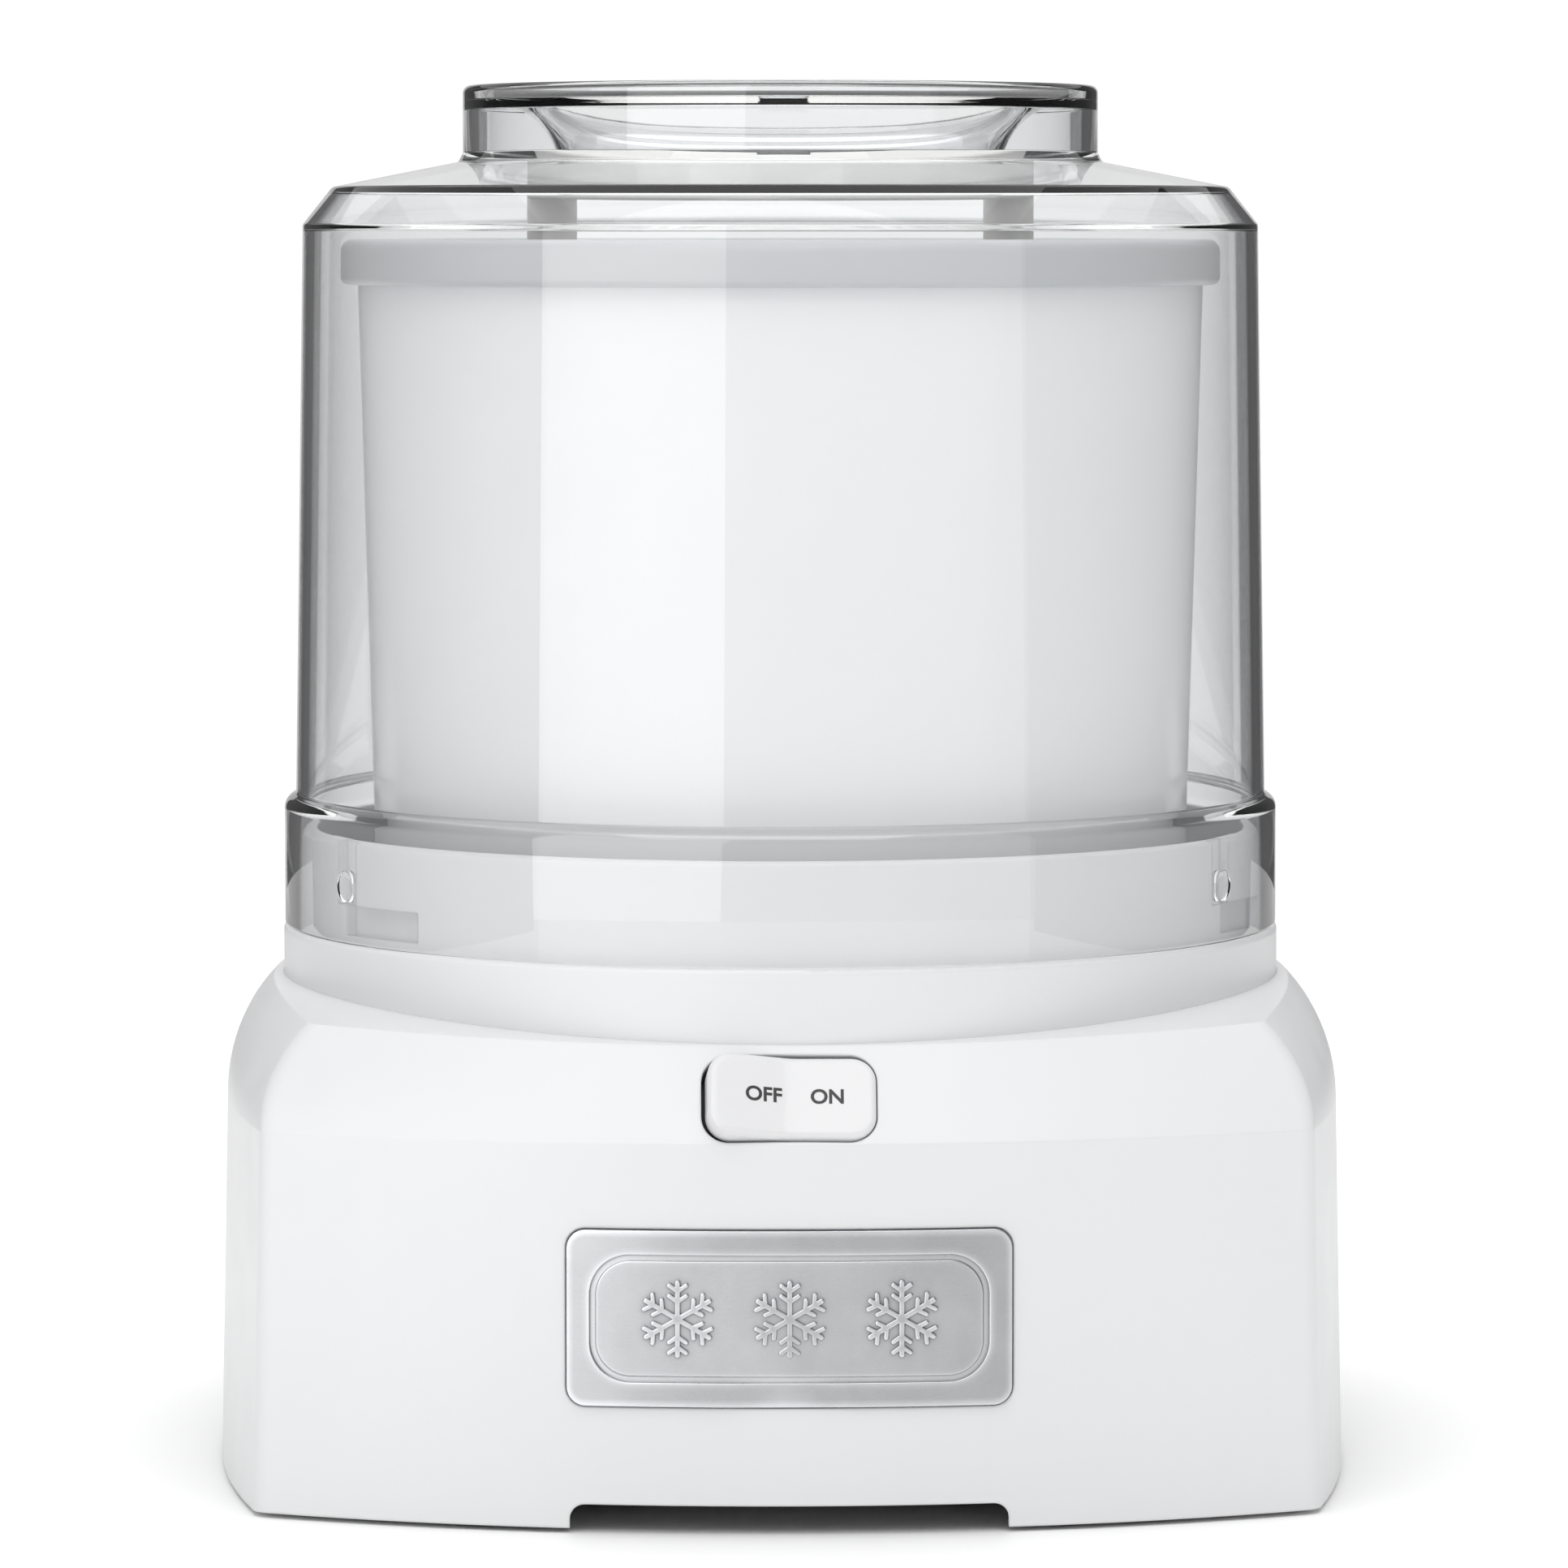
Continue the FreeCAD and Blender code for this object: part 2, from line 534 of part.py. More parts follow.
def housing_moulding():
    """The whole white upper moulding: walls, sloped band, deck, neck and bowl well."""
    shell = base_form(0, HOUSING_BOTTOM_Z).cut(base_form(HOUSING_WALL, HOUSING_BOTTOM_Z - 1))
    neck_foot_z = WELL_UNDERSIDE_Z
    neck = turned([
        (0, neck_foot_z, 0), (INNER_NECK_RADIUS, neck_foot_z, 0),
        (INNER_NECK_RADIUS, DECK_EDGE_Z - HOUSING_WALL, 0),
        (NECK_RADIUS, DECK_EDGE_Z - HOUSING_WALL, 0),
        (NECK_RADIUS, NECK_TOP_Z, 0.8), (INNER_NECK_RADIUS, NECK_TOP_Z, 0),
        (INNER_NECK_RADIUS, INNER_NECK_TOP_Z, 1.0), (0, INNER_NECK_TOP_Z, 0),
    ])
    posts = [cylinder(POST_RADIUS, COVER_TOP_Z, DECK_EDGE_Z, point) for point in post_points()]
    ribs = []
    for point in post_points():
        side = math.copysign(1, point.x)
        outer_x = point.x + side * (HALF_WIDTH - POST_X - 5 * HOUSING_WALL)
        low, high = sorted((point.x, outer_x))
        ribs.append(block(low, high, point.y - 1, point.y + 1, COVER_TOP_Z + 2, DECK_EDGE_Z - 4))
    bosses = [cylinder(EAR_RADIUS, PLATE_TOP_Z, WELL_FLOOR_Z - 1, point) for point in CASE_EARS]
    solid = joined([shell, neck] + posts + ribs + bosses)
    solid = solid.common(joined([base_form(0, HOUSING_BOTTOM_Z),
                                 cylinder(NECK_RADIUS, BREAK_Z, INNER_NECK_TOP_Z)]))
    well = turned([
        (0, WELL_FLOOR_Z, 0), (WELL_RADIUS, WELL_FLOOR_Z, 4.0),
        (WELL_RADIUS, INNER_NECK_TOP_Z + 1, 0), (0, INNER_NECK_TOP_Z + 1, 0),
    ])
    cuts = [well, cylinder(OUTPUT_SHAFT_RADIUS + BUSH_WALL + BODY_GAP, BREAK_Z, WELL_FLOOR_Z + 1)]
    pilot = SCREW_RADIUS + SCREW_CLEARANCE
    cuts += [cylinder(pilot, COVER_Z, COVER_Z + 16, point) for point in post_points()]
    cuts += [cylinder(pilot, BREAK_Z, WELL_FLOOR_Z - 0.6, point) for point in CASE_EARS]
    slot = rounded_slab(ROCKER_WIDTH + 2 * ROCKER_GAP, ROCKER_LENGTH + 2 * ROCKER_GAP,
                        ROCKER_CORNER + ROCKER_GAP, 3 * SWITCH_PLATE_DEPTH)
    slot.translate(Vector(0, 0, -SWITCH_PLATE_DEPTH + 0.5))
    cuts.append(in_band(slot))
    notch = rounded_slab(2 * NOTCH_HALF_WIDTH, 2 * (NOTCH_HEIGHT - HOUSING_BOTTOM_Z), NOTCH_RADIUS,
                         8 * HOUSING_WALL)
    cuts.append(upright(notch, 0, -HALF_DEPTH + 6 * HOUSING_WALL, HOUSING_BOTTOM_Z))
    gland_hole = cylinder(GLAND_RADIUS + BODY_GAP, 0, 40)
    cuts.append(rear_facing(gland_hole, 20))
    cuts += rear_vents()
    cuts += [nub_slot(angle) for angle in NUB_ANGLES]
    solid = solid.cut(joined(cuts))
    badge_back = BADGE_THICKNESS - BADGE_PROUD + BODY_GAP
    recess = badge_prism(BADGE_GAP, CUTTER_REACH, CUTTER_REACH)
    return solid.cut(recess.cut(base_form(badge_back, HOUSING_BOTTOM_Z)))


def well_envelope():
    """The part of the moulding that is the neck, the well and the bosses under it."""
    return joined([
        cylinder(NECK_RADIUS, WELL_UNDERSIDE_Z, INNER_NECK_TOP_Z + 1),
        cylinder(WELL_RADIUS, PLATE_TOP_Z, WELL_UNDERSIDE_Z),
    ])


def base_housing():
    """The outer walls, band and deck, up to the neck."""
    return housing_moulding().cut(well_envelope())


def bowl_well():
    """The neck that the lid stands on and the well that the freezer bowl turns in."""
    return housing_moulding().common(well_envelope())


def rear_facing(shape, start_in):
    """Lay a shape that stands on z = 0 along +Y at the cord inlet, from start_in inside the wall."""
    copy = shape.copy()
    copy.rotate(Vector(0, 0, 0), Vector(1, 0, 0), -90)
    copy.translate(Vector(GLAND_X, rear_wall_y(GLAND_X) - start_in, GLAND_Z))
    return copy


def rear_wall_y(x):
    """The rear wall's outer face at this x, near the bottom."""
    radius = arc_radius(CORNER_HALF_WIDTH, HALF_DEPTH - CORNER_HALF_DEPTH)
    return HALF_DEPTH - radius + math.sqrt(radius ** 2 - x ** 2)


# ---------------------------------------------------------------- base: fitted pieces
def bottom_cover():
    margin = HOUSING_WALL + COVER_CLEARANCE
    plate = Part.Face(base_section(COVER_Z, margin, margin, margin))
    plate = plate.extrude(Vector(0, 0, COVER_THICKNESS))
    cuts = [block(-NOTCH_HALF_WIDTH - 1, NOTCH_HALF_WIDTH + 1, -HALF_DEPTH, -HALF_DEPTH + 18,
                  COVER_Z - 1, COVER_TOP_Z + 1)]
    for point in post_points():
        cuts.append(cylinder(SCREW_RADIUS + SCREW_CLEARANCE, COVER_Z - 1, COVER_TOP_Z + 1, point))
    for point in foot_points():
        cuts.append(cylinder(FOOT_RADIUS - 2 + BODY_GAP, COVER_Z - 1, COVER_TOP_Z + 1, point))
    for index in range(VENT_COUNT):
        x = MOTOR_AXIS.x + (index - (VENT_COUNT - 1) / 2) * VENT_PITCH
        slot = rounded_slab(VENT_WIDTH, VENT_LENGTH, VENT_WIDTH / 2 - 0.01, 3 * COVER_THICKNESS)
        slot.translate(Vector(x, MOTOR_AXIS.y - VENT_LENGTH / 2, COVER_Z - COVER_THICKNESS))
        cuts.append(slot)
    return plate.cut(joined(cuts))


def foot_points():
    return [Vector(x * FOOT_X, y * FOOT_Y, 0) for x in (-1, 1) for y in (-1, 1)]


def rubber_feet():
    """Four plugs: a pad under the cover, a waist through it and a flange above it."""
    waist = FOOT_RADIUS - 2
    lip_z = COVER_TOP_Z + BODY_GAP
    outline = [
        (0, 0, 0), (FOOT_RADIUS, 0, 0.8), (FOOT_RADIUS, COVER_Z - BODY_GAP, 0),
        (waist, COVER_Z - BODY_GAP, 0), (waist, lip_z, 0), (waist + 1, lip_z, 0),
        (waist + 1, FOOT_HEIGHT + 2, 0.8), (0, FOOT_HEIGHT + 2, 0),
    ]
    return [turned(outline, point) for point in foot_points()]


def cover_screws():
    return [screw(point, COVER_Z, COVER_Z + 15) for point in post_points()]


def snowflake(centre_x, centre_z):
    """Six bars with small side branches, as slabs that run through the front wall."""
    bars = []
    for index in range(6):
        angle = index * 60.0
        bar = rounded_slab(MOTIF_BAR, MOTIF_RADIUS, MOTIF_BAR / 2 - 0.01, 30)
        bar.translate(Vector(0, MOTIF_RADIUS / 2, 0))
        branches = [bar]
        for share in (0.45, 0.72):
            for side in (-1, 1):
                twig = rounded_slab(MOTIF_BAR * 0.85, MOTIF_RADIUS * 0.34, MOTIF_BAR * 0.4, 30)
                twig.translate(Vector(0, MOTIF_RADIUS * 0.15, 0))
                twig.rotate(Vector(0, 0, 0), Vector(0, 0, 1), side * 55)
                twig.translate(Vector(0, MOTIF_RADIUS * share, 0))
                branches.append(twig)
        arm = joined(branches)
        arm.rotate(Vector(0, 0, 0), Vector(0, 0, 1), angle)
        bars.append(arm)
    return upright(joined(bars), centre_x, -HALF_DEPTH + 20, centre_z)


def badge_plate():
    """A plate bent to the front wall, with a sunk panel inside a groove and raised snowflakes."""
    middle_z = (BADGE_TOP_Z + BADGE_BOTTOM_Z) / 2
    tool_y = CUTTER_REACH - HALF_DEPTH
    back = base_form(BADGE_THICKNESS - BADGE_PROUD, HOUSING_BOTTOM_Z)
    front = base_form(-BADGE_PROUD, HOUSING_BOTTOM_Z)
    groove_floor = base_form(GROOVE_DEPTH - BADGE_PROUD, HOUSING_BOTTOM_Z)
    panel_floor = base_form(PANEL_DEPTH - BADGE_PROUD, HOUSING_BOTTOM_Z)
    flake_top = base_form(PANEL_DEPTH - BADGE_PROUD - MOTIF_RELIEF, HOUSING_BOTTOM_Z)
    outer = rounded_slab(PANEL_WIDTH, PANEL_HEIGHT, PANEL_CORNER, 2 * CUTTER_REACH)
    inner = rounded_slab(PANEL_WIDTH - 2 * GROOVE_WIDTH, PANEL_HEIGHT - 2 * GROOVE_WIDTH,
                         PANEL_CORNER - GROOVE_WIDTH, 2 * CUTTER_REACH)
    groove = upright(outer.cut(inner), 0, tool_y, middle_z)
    panel = upright(inner, 0, tool_y, middle_z)
    plate = badge_prism(0, CUTTER_REACH, CUTTER_REACH).common(front).cut(back)
    plate = plate.cut(groove.cut(groove_floor)).cut(panel.cut(panel_floor))
    flakes = [snowflake(index * MOTIF_PITCH, middle_z) for index in (-1, 0, 1)]
    raised = joined(flakes).common(flake_top).cut(back)
    return plate.fuse(raised).removeSplitter()


def cord_gland():
    """A bushing through the rear wall: a flange outside, a lip inside and the cord's hole."""
    bottom = CUTTER_REACH - GLAND_WALL_SPAN - GLAND_LIP
    top = CUTTER_REACH + GLAND_FLANGE_THICKNESS + GLAND_CROWN
    body = cylinder(GLAND_RADIUS, 0, CUTTER_REACH).fuse([
        cylinder(GLAND_FLANGE_RADIUS, CUTTER_REACH, top),
        cylinder(GLAND_FLANGE_RADIUS, bottom, CUTTER_REACH - GLAND_WALL_SPAN),
    ])
    body = body.common(cylinder(GLAND_FLANGE_RADIUS, bottom, top))
    body = rear_facing(body.cut(cylinder(CORD_HOLE_RADIUS, 0, top)), CUTTER_REACH)
    wall = base_form(-BODY_GAP, HOUSING_BOTTOM_Z).cut(base_form(HOUSING_WALL + BODY_GAP, 0))
    hole = rear_facing(cylinder(GLAND_RADIUS, 0, 2 * CUTTER_REACH), CUTTER_REACH)
    gland = body.cut(wall.cut(hole))
    rear_limit = block(-HALF_WIDTH, HALF_WIDTH, 0, HALF_DEPTH - GLAND_REAR_GAP, 0, BREAK_Z)
    return gland.common(rear_limit)


# ---------------------------------------------------------------- switch
def in_band(shape):
    """Move a shape drawn in the switch's own frame to its place in the sloped band."""
    copy = shape.copy()
    copy.Placement = switch_placement().multiply(copy.Placement)
    return copy


def pivot_pin(radius, half_length):
    return Part.makeCylinder(radius, 2 * half_length, Vector(0, -half_length, -PIVOT_DEPTH),
                             Vector(0, 1, 0))


def rocker():
    """A rocker button with a V-shaped top, at rest with its ON side pressed in."""
    half = ROCKER_WIDTH / 2
    middle = ROCKER_PROUD - ROCKER_CREASE
    outline = [
        (Vector(-half, 0, -ROCKER_SKIRT), 0), (Vector(half, 0, -ROCKER_SKIRT), 0),
        (Vector(half, 0, ROCKER_PROUD), ROCKER_END_ROUND),
        (Vector(0, 0, middle), ROCKER_CREASE_ROUND),
        (Vector(-half, 0, ROCKER_PROUD), ROCKER_END_ROUND),
    ]
    body = Part.Face(rounded_path(outline)).extrude(Vector(0, ROCKER_LENGTH, 0))
    body.translate(Vector(0, -ROCKER_LENGTH / 2, 0))
    sides = rounded_slab(ROCKER_WIDTH, ROCKER_LENGTH, ROCKER_CORNER, 3 * ROCKER_SKIRT)
    sides.translate(Vector(0, 0, -ROCKER_SKIRT))
    body = body.common(sides)
    pocket_x = PIVOT_BOSS_RADIUS + 2
    pocket_y = PIVOT_HALF_PIN + 0.6
    pocket_top = -ROCKER_SKIRT + ROCKER_POCKET_DEPTH
    body = body.cut(block(-pocket_x, pocket_x, -pocket_y, pocket_y, -2 * ROCKER_SKIRT, pocket_top))
    web = block(-PIVOT_BOSS_RADIUS, PIVOT_BOSS_RADIUS, -PIVOT_HALF_WEB, PIVOT_HALF_WEB,
                -PIVOT_DEPTH, pocket_top + 0.5)
    boss = pivot_pin(PIVOT_BOSS_RADIUS, PIVOT_HALF_WEB)
    pin = pivot_pin(PIVOT_PIN_RADIUS, PIVOT_HALF_PIN)
    body = joined([body, web, boss, pin])
    body.rotate(Vector(0, 0, -PIVOT_DEPTH), Vector(0, 1, 0), ROCKER_TILT)
    return in_band(body)


def switch_body():
    """The switch behind the band: a plate with risers, two pivot ears and a contact box."""
    plate_low = -SWITCH_PLATE_DEPTH - SWITCH_PLATE_THICKNESS
    wide, tall = SWITCH_PLATE_HALF_WIDTH, SWITCH_PLATE_HALF_LENGTH
    plate = block(-wide, wide, -tall, tall, plate_low, -SWITCH_PLATE_DEPTH)
    box = block(-SWITCH_BODY_HALF_WIDTH, SWITCH_BODY_HALF_WIDTH, SWITCH_BODY_LOW, SWITCH_BODY_HIGH,
                -SWITCH_BODY_DEPTH, -SWITCH_PLATE_DEPTH)
    riser_x = ROCKER_WIDTH / 2 + ROCKER_GAP + 1
    pieces = [plate, box]
    for side in (-1, 1):
        low, high = sorted((side * riser_x, side * wide))
        pieces.append(block(low, high, -tall, tall, plate_low, -HOUSING_WALL - BODY_GAP))
        near = side * (PIVOT_HALF_WEB + PIVOT_WEB_GAP)
        far = side * (PIVOT_HALF_PIN - 0.1)
        low, high = sorted((near, far))
        pieces.append(block(-PIVOT_BOSS_RADIUS, PIVOT_BOSS_RADIUS, low, high,
                            -SWITCH_PLATE_DEPTH - 1, PIVOT_EAR_RISE - PIVOT_DEPTH))
    body = joined(pieces).cut(pivot_pin(PIVOT_PIN_RADIUS + PIN_RUNNING_FIT, PIVOT_HALF_PIN + 1))
    return in_band(body).common(base_form(HOUSING_WALL + BODY_GAP, HOUSING_BOTTOM_Z))


def terminal_tip(side):
    """Where a lead meets the end of a terminal."""
    depth = -SWITCH_BODY_DEPTH - TERMINAL_LENGTH
    return switch_placement().multVec(Vector(side * TERMINAL_X, TERMINAL_Y, depth))


def switch_terminals():
    blades = []
    for side in (-1, 1):
        blade = block(-TERMINAL_WIDTH / 2, TERMINAL_WIDTH / 2, -TERMINAL_THICKNESS / 2,
                      TERMINAL_THICKNESS / 2, -SWITCH_BODY_DEPTH - TERMINAL_LENGTH,
                      -SWITCH_BODY_DEPTH)
        blade.translate(Vector(side * TERMINAL_X, TERMINAL_Y, 0))
        blades.append(in_band(blade))
    return blades


# ---------------------------------------------------------------- gears
def involute(angle):
    return math.tan(angle) - angle


def gear_blank(teeth, module, low, face):
    """A spur gear about the Z axis with one tooth centred on +X."""
    pitch = module * teeth / 2
    base = pitch * math.cos(PRESSURE_ANGLE)
    tip = pitch + module
    root = pitch - module * (1 + TIP_CLEARANCE)
    half_pitch = math.pi / (2 * teeth) - BACKLASH / (4 * pitch) + involute(PRESSURE_ANGLE)
    start = max(base, root + 0.05 * module)
    steps = 6
    flank = []
    for step in range(steps + 1):
        radius = start + (tip - start) * step / steps
        pressure = math.acos(min(1.0, base / radius))
        flank.append((radius, half_pitch - involute(pressure)))
    foot_angle = flank[0][1]
    edges = []
    for tooth in range(teeth):
        centre = 2 * math.pi * tooth / teeth
        right = [polar(radius, centre - angle, low) for radius, angle in flank]
        left = [polar(radius, centre + angle, low) for radius, angle in reversed(flank)]
        for side in (right, left):
            curve = Part.BSplineCurve()
            curve.interpolate(side)
            side.append(curve.toShape())
        foot_in = polar(root, centre - foot_angle, low)
        foot_out = polar(root, centre + foot_angle, low)
        edges.append(Part.LineSegment(foot_in, right[0]).toShape())
        edges.append(right[-1])
        edges.append(Part.Arc(right[-2], polar(tip, centre, low), left[0]).toShape())
        edges.append(left[-1])
        edges.append(Part.LineSegment(left[-2], foot_out).toShape())
        following = 2 * math.pi * (tooth + 1) / teeth - foot_angle
        valley = (centre + foot_angle + following) / 2
        edges.append(Part.Arc(foot_out, polar(root, valley, low),
                              polar(root, following, low)).toShape())
    return Part.Face(Part.Wire(edges)).extrude(Vector(0, 0, face))


def placed_gear(teeth, module, low, face, axis, mesh_angle, tooth_there):
    """A gear on its axis with a tooth, or else a gap, pointing along mesh_angle."""
    gear = gear_blank(teeth, module, low, face)
    turn = math.degrees(mesh_angle)
    if not tooth_there:
        turn += 180.0 / teeth
    gear.rotate(Vector(0, 0, 0), Vector(0, 0, 1), turn)
    gear.translate(axis)
    return gear


def web_cut(pitch, module, low, face, axis, hub_radius):
    """A ring-shaped recess in a large gear's upper face."""
    inner = hub_radius + 1.5
    outer = pitch - 3.2 * module
    return ring(outer, inner, low + face - 2.5, low + face + 1, axis)


def output_gear():
    gear = placed_gear(OUTPUT_TEETH, OUTPUT_MODULE, OUTPUT_Z, OUTPUT_FACE, OUTPUT_AXIS,
                       SECOND_DIRECTION, True)
    gear = gear.cut(web_cut(OUTPUT_PITCH, OUTPUT_MODULE, OUTPUT_Z, OUTPUT_FACE, OUTPUT_AXIS, 11.0))
    return gear.cut(output_shaft_form(BODY_GAP))


def compound_gear(teeth, module, low, face, axis, wheel_angle, wheel_tooth, pinion):
    """A large wheel with a pinion moulded on top. It runs on a fixed axle."""
    pinion_teeth, pinion_module, pinion_low, pinion_face, pinion_angle = pinion
    wheel = placed_gear(teeth, module, low, face, axis, wheel_angle, wheel_tooth)
    top = pinion_low + pinion_face
    small = placed_gear(pinion_teeth, pinion_module, low + face, top - low - face, axis,
                        pinion_angle, False)
    wheel = wheel.cut(web_cut(module * teeth / 2, module, low, face, axis,
                              pinion_module * (pinion_teeth / 2 + 1)))
    hub = cylinder(GEAR_HUB_RADIUS - 1.5, low - STAGE_GAP * 0.5, low, axis)
    body = joined([wheel, small, hub])
    bore = GEAR_AXLE_RADIUS + AXLE_RUNNING_FIT
    return body.cut(cylinder(bore, CASE_FLOOR_Z, PLATE_TOP_Z, axis))


def second_gear():
    pinion = (SECOND_PINION_TEETH, OUTPUT_MODULE, OUTPUT_Z, OUTPUT_FACE + 1,
              SECOND_DIRECTION + math.pi)
    return compound_gear(SECOND_TEETH, SECOND_MODULE, SECOND_Z, SECOND_FACE, SECOND_AXIS,
                         FIRST_DIRECTION, True, pinion)


def first_gear():
    pinion = (FIRST_PINION_TEETH, SECOND_MODULE, SECOND_Z, SECOND_FACE + 1,
              FIRST_DIRECTION + math.pi)
    return compound_gear(FIRST_TEETH, FIRST_MODULE, FIRST_Z, FIRST_FACE, FIRST_AXIS,
                         MOTOR_DIRECTION, True, pinion)


def motor_pinion():
    pinion = placed_gear(MOTOR_PINION_TEETH, FIRST_MODULE, FIRST_Z - 0.5, FIRST_FACE + 1,
                         MOTOR_AXIS, MOTOR_DIRECTION + math.pi, False)
    return pinion.cut(cylinder(MOTOR_SHAFT_RADIUS, FIRST_Z - 2, FIRST_Z + FIRST_FACE + 2, MOTOR_AXIS))


def gear_axles():
    return [
        cylinder(GEAR_AXLE_RADIUS, CASE_FLOOR_Z + 0.5, PLATE_TOP_Z - 0.5, axis)
        for axis in (FIRST_AXIS, SECOND_AXIS)
    ]


# ---------------------------------------------------------------- gearbox
def case_outline(extra, low, high):
    """The union of round wells that hold the train, grown by extra."""
    gap = CASE_GEAR_GAP + extra
    wells = (
        (OUTPUT_PITCH + OUTPUT_MODULE, OUTPUT_AXIS),
        (SECOND_PITCH + SECOND_MODULE, SECOND_AXIS),
        (FIRST_PITCH + FIRST_MODULE, FIRST_AXIS),
        (FIRST_MODULE * (MOTOR_PINION_TEETH / 2 + 1), MOTOR_AXIS),
    )
    return joined([cylinder(radius + gap, low, high, axis) for radius, axis in wells])


def gearbox_case():
    outer = case_outline(CASE_WALL, CASE_FLOOR_Z, CASE_TOP_Z)
    ears = [cylinder(EAR_RADIUS, CASE_TOP_Z - EAR_HEIGHT, CASE_TOP_Z, p) for p in CASE_EARS]
    sleeve_top = FIRST_Z - STAGE_GAP * 0.5 - 0.3
    hollow = case_outline(0, CASE_INSIDE_Z, CASE_TOP_Z + 1)
    bosses = [cylinder(GEAR_HUB_RADIUS, CASE_FLOOR_Z, sleeve_top, FIRST_AXIS)]
    bosses.append(cylinder(GEAR_HUB_RADIUS, CASE_FLOOR_Z,
                           SECOND_Z - STAGE_GAP * 0.5 - 0.3, SECOND_AXIS))
    bosses.append(cylinder(OUTPUT_SHAFT_RADIUS + 2 * BUSH_WALL, CASE_FLOOR_Z,
                           CASE_INSIDE_Z + 9, OUTPUT_AXIS))
    body = joined([outer] + ears).cut(hollow)
    body = joined([body] + bosses)
    pilot = SCREW_RADIUS + SCREW_CLEARANCE
    cuts = [cylinder(pilot, CASE_FLOOR_Z - 1, CASE_TOP_Z + 1, point) for point in CASE_EARS]
    cuts += [cylinder(SCREW_HEAD_RADIUS + SCREW_CLEARANCE, CASE_FLOOR_Z - 1,
                      CASE_TOP_Z - EAR_HEIGHT, point) for point in CASE_EARS]
    cuts += [cylinder(GEAR_AXLE_RADIUS, CASE_FLOOR_Z + 0.5, CASE_TOP_Z, axis)
             for axis in (FIRST_AXIS, SECOND_AXIS)]
    cuts.append(cylinder(OUTPUT_SHAFT_RADIUS + BUSH_WALL, CASE_FLOOR_Z + 1, CASE_TOP_Z, OUTPUT_AXIS))
    cuts.append(cylinder(MOTOR_BUSH_RADIUS + BODY_GAP, CASE_FLOOR_Z - 1, CASE_INSIDE_Z + 1, MOTOR_AXIS))
    cuts += [cylinder(pilot, CASE_FLOOR_Z - 1, CASE_INSIDE_Z + 1, point) for point in motor_screw_points()]
    return body.cut(joined(cuts))


def gearbox_plate():
    plate = case_outline(CASE_WALL, CASE_TOP_Z, PLATE_TOP_Z)
    plate = joined([plate] + [cylinder(EAR_RADIUS, CASE_TOP_Z, PLATE_TOP_Z, p) for p in CASE_EARS])
    pilot = SCREW_RADIUS + SCREW_CLEARANCE
    cuts = [cylinder(pilot, CASE_TOP_Z - 1, PLATE_TOP_Z + 1, point) for point in CASE_EARS]
    cuts += [cylinder(GEAR_AXLE_RADIUS, CASE_TOP_Z - 1, PLATE_TOP_Z - 0.5, axis)
             for axis in (FIRST_AXIS, SECOND_AXIS)]
    cuts.append(cylinder(OUTPUT_SHAFT_RADIUS + BUSH_WALL + 1.5, CASE_TOP_Z - 1, PLATE_TOP_Z + 1))
    return plate.cut(joined(cuts))


def gearbox_screws():
    head_z = CASE_TOP_Z - EAR_HEIGHT
    return [screw(point, head_z, WELL_FLOOR_Z - 0.8) for point in CASE_EARS]


# ---------------------------------------------------------------- turntable
def output_shaft_form(gap):
    """The slow shaft. A flat on it drives the gear and the turntable."""
    radius = OUTPUT_SHAFT_RADIUS + gap
    shaft = cylinder(radius, CASE_FLOOR_Z + 1.5 - gap, COUPLER_TOP_Z - 1.0 + gap)
    flat_x = OUTPUT_SHAFT_RADIUS - SHAFT_FLAT + gap
    lower = block(flat_x, 2 * radius, -2 * radius, 2 * radius, OUTPUT_Z, OUTPUT_Z + OUTPUT_FACE)
    upper = block(flat_x, 2 * radius, -2 * radius, 2 * radius, COUPLER_Z, COUPLER_TOP_Z)
    return shaft.cut(lower).cut(upper)


def output_shaft():
    groove_z = WELL_FLOOR_Z + 0.5
    return output_shaft_form(0).cut(ring(OUTPUT_SHAFT_RADIUS + 1, OUTPUT_SHAFT_RADIUS - 0.8,
                                         groove_z, groove_z + CLIP_THICKNESS))


def coupler_clip():
    """An open spring clip in the shaft's groove, above the well floor."""
    low = WELL_FLOOR_Z + 0.5
    clip = ring(CLIP_RADIUS, OUTPUT_SHAFT_RADIUS - 0.8 + 0.02, low + 0.05, low + CLIP_THICKNESS - 0.05)
    return clip.cut(block(0, 2 * CLIP_RADIUS, -3.2, 3.2, low - 1, low + 2))


def output_bushes():
    outer = OUTPUT_SHAFT_RADIUS + BUSH_WALL
    inner = OUTPUT_SHAFT_RADIUS + AXLE_RUNNING_FIT
    lower = ring(outer, inner, CASE_FLOOR_Z + 1, CASE_INSIDE_Z + 9)
    upper = ring(outer, inner, WELL_UNDERSIDE_Z - 4, WELL_FLOOR_Z)
    return [lower, upper]


def lug_places():
    return [polar(LUG_CIRCLE_RADIUS, 2 * math.pi * index / LUG_COUNT + math.pi / 2)
            for index in range(LUG_COUNT)]


def drive_coupler():
    disc = turned([(0, COUPLER_Z, 0), (COUPLER_RADIUS, COUPLER_Z, 0.8),
                   (COUPLER_RADIUS, COUPLER_TOP_Z, 1.2), (0, COUPLER_TOP_Z, 0)])
    lugs = [turned([(0, COUPLER_TOP_Z - 1, 0), (LUG_RADIUS, COUPLER_TOP_Z - 1, 0),
                    (LUG_RADIUS, COUPLER_TOP_Z + LUG_HEIGHT, 1.5),
                    (0, COUPLER_TOP_Z + LUG_HEIGHT, 0)], place) for place in lug_places()]
    return joined([disc] + lugs).cut(output_shaft_form(0))


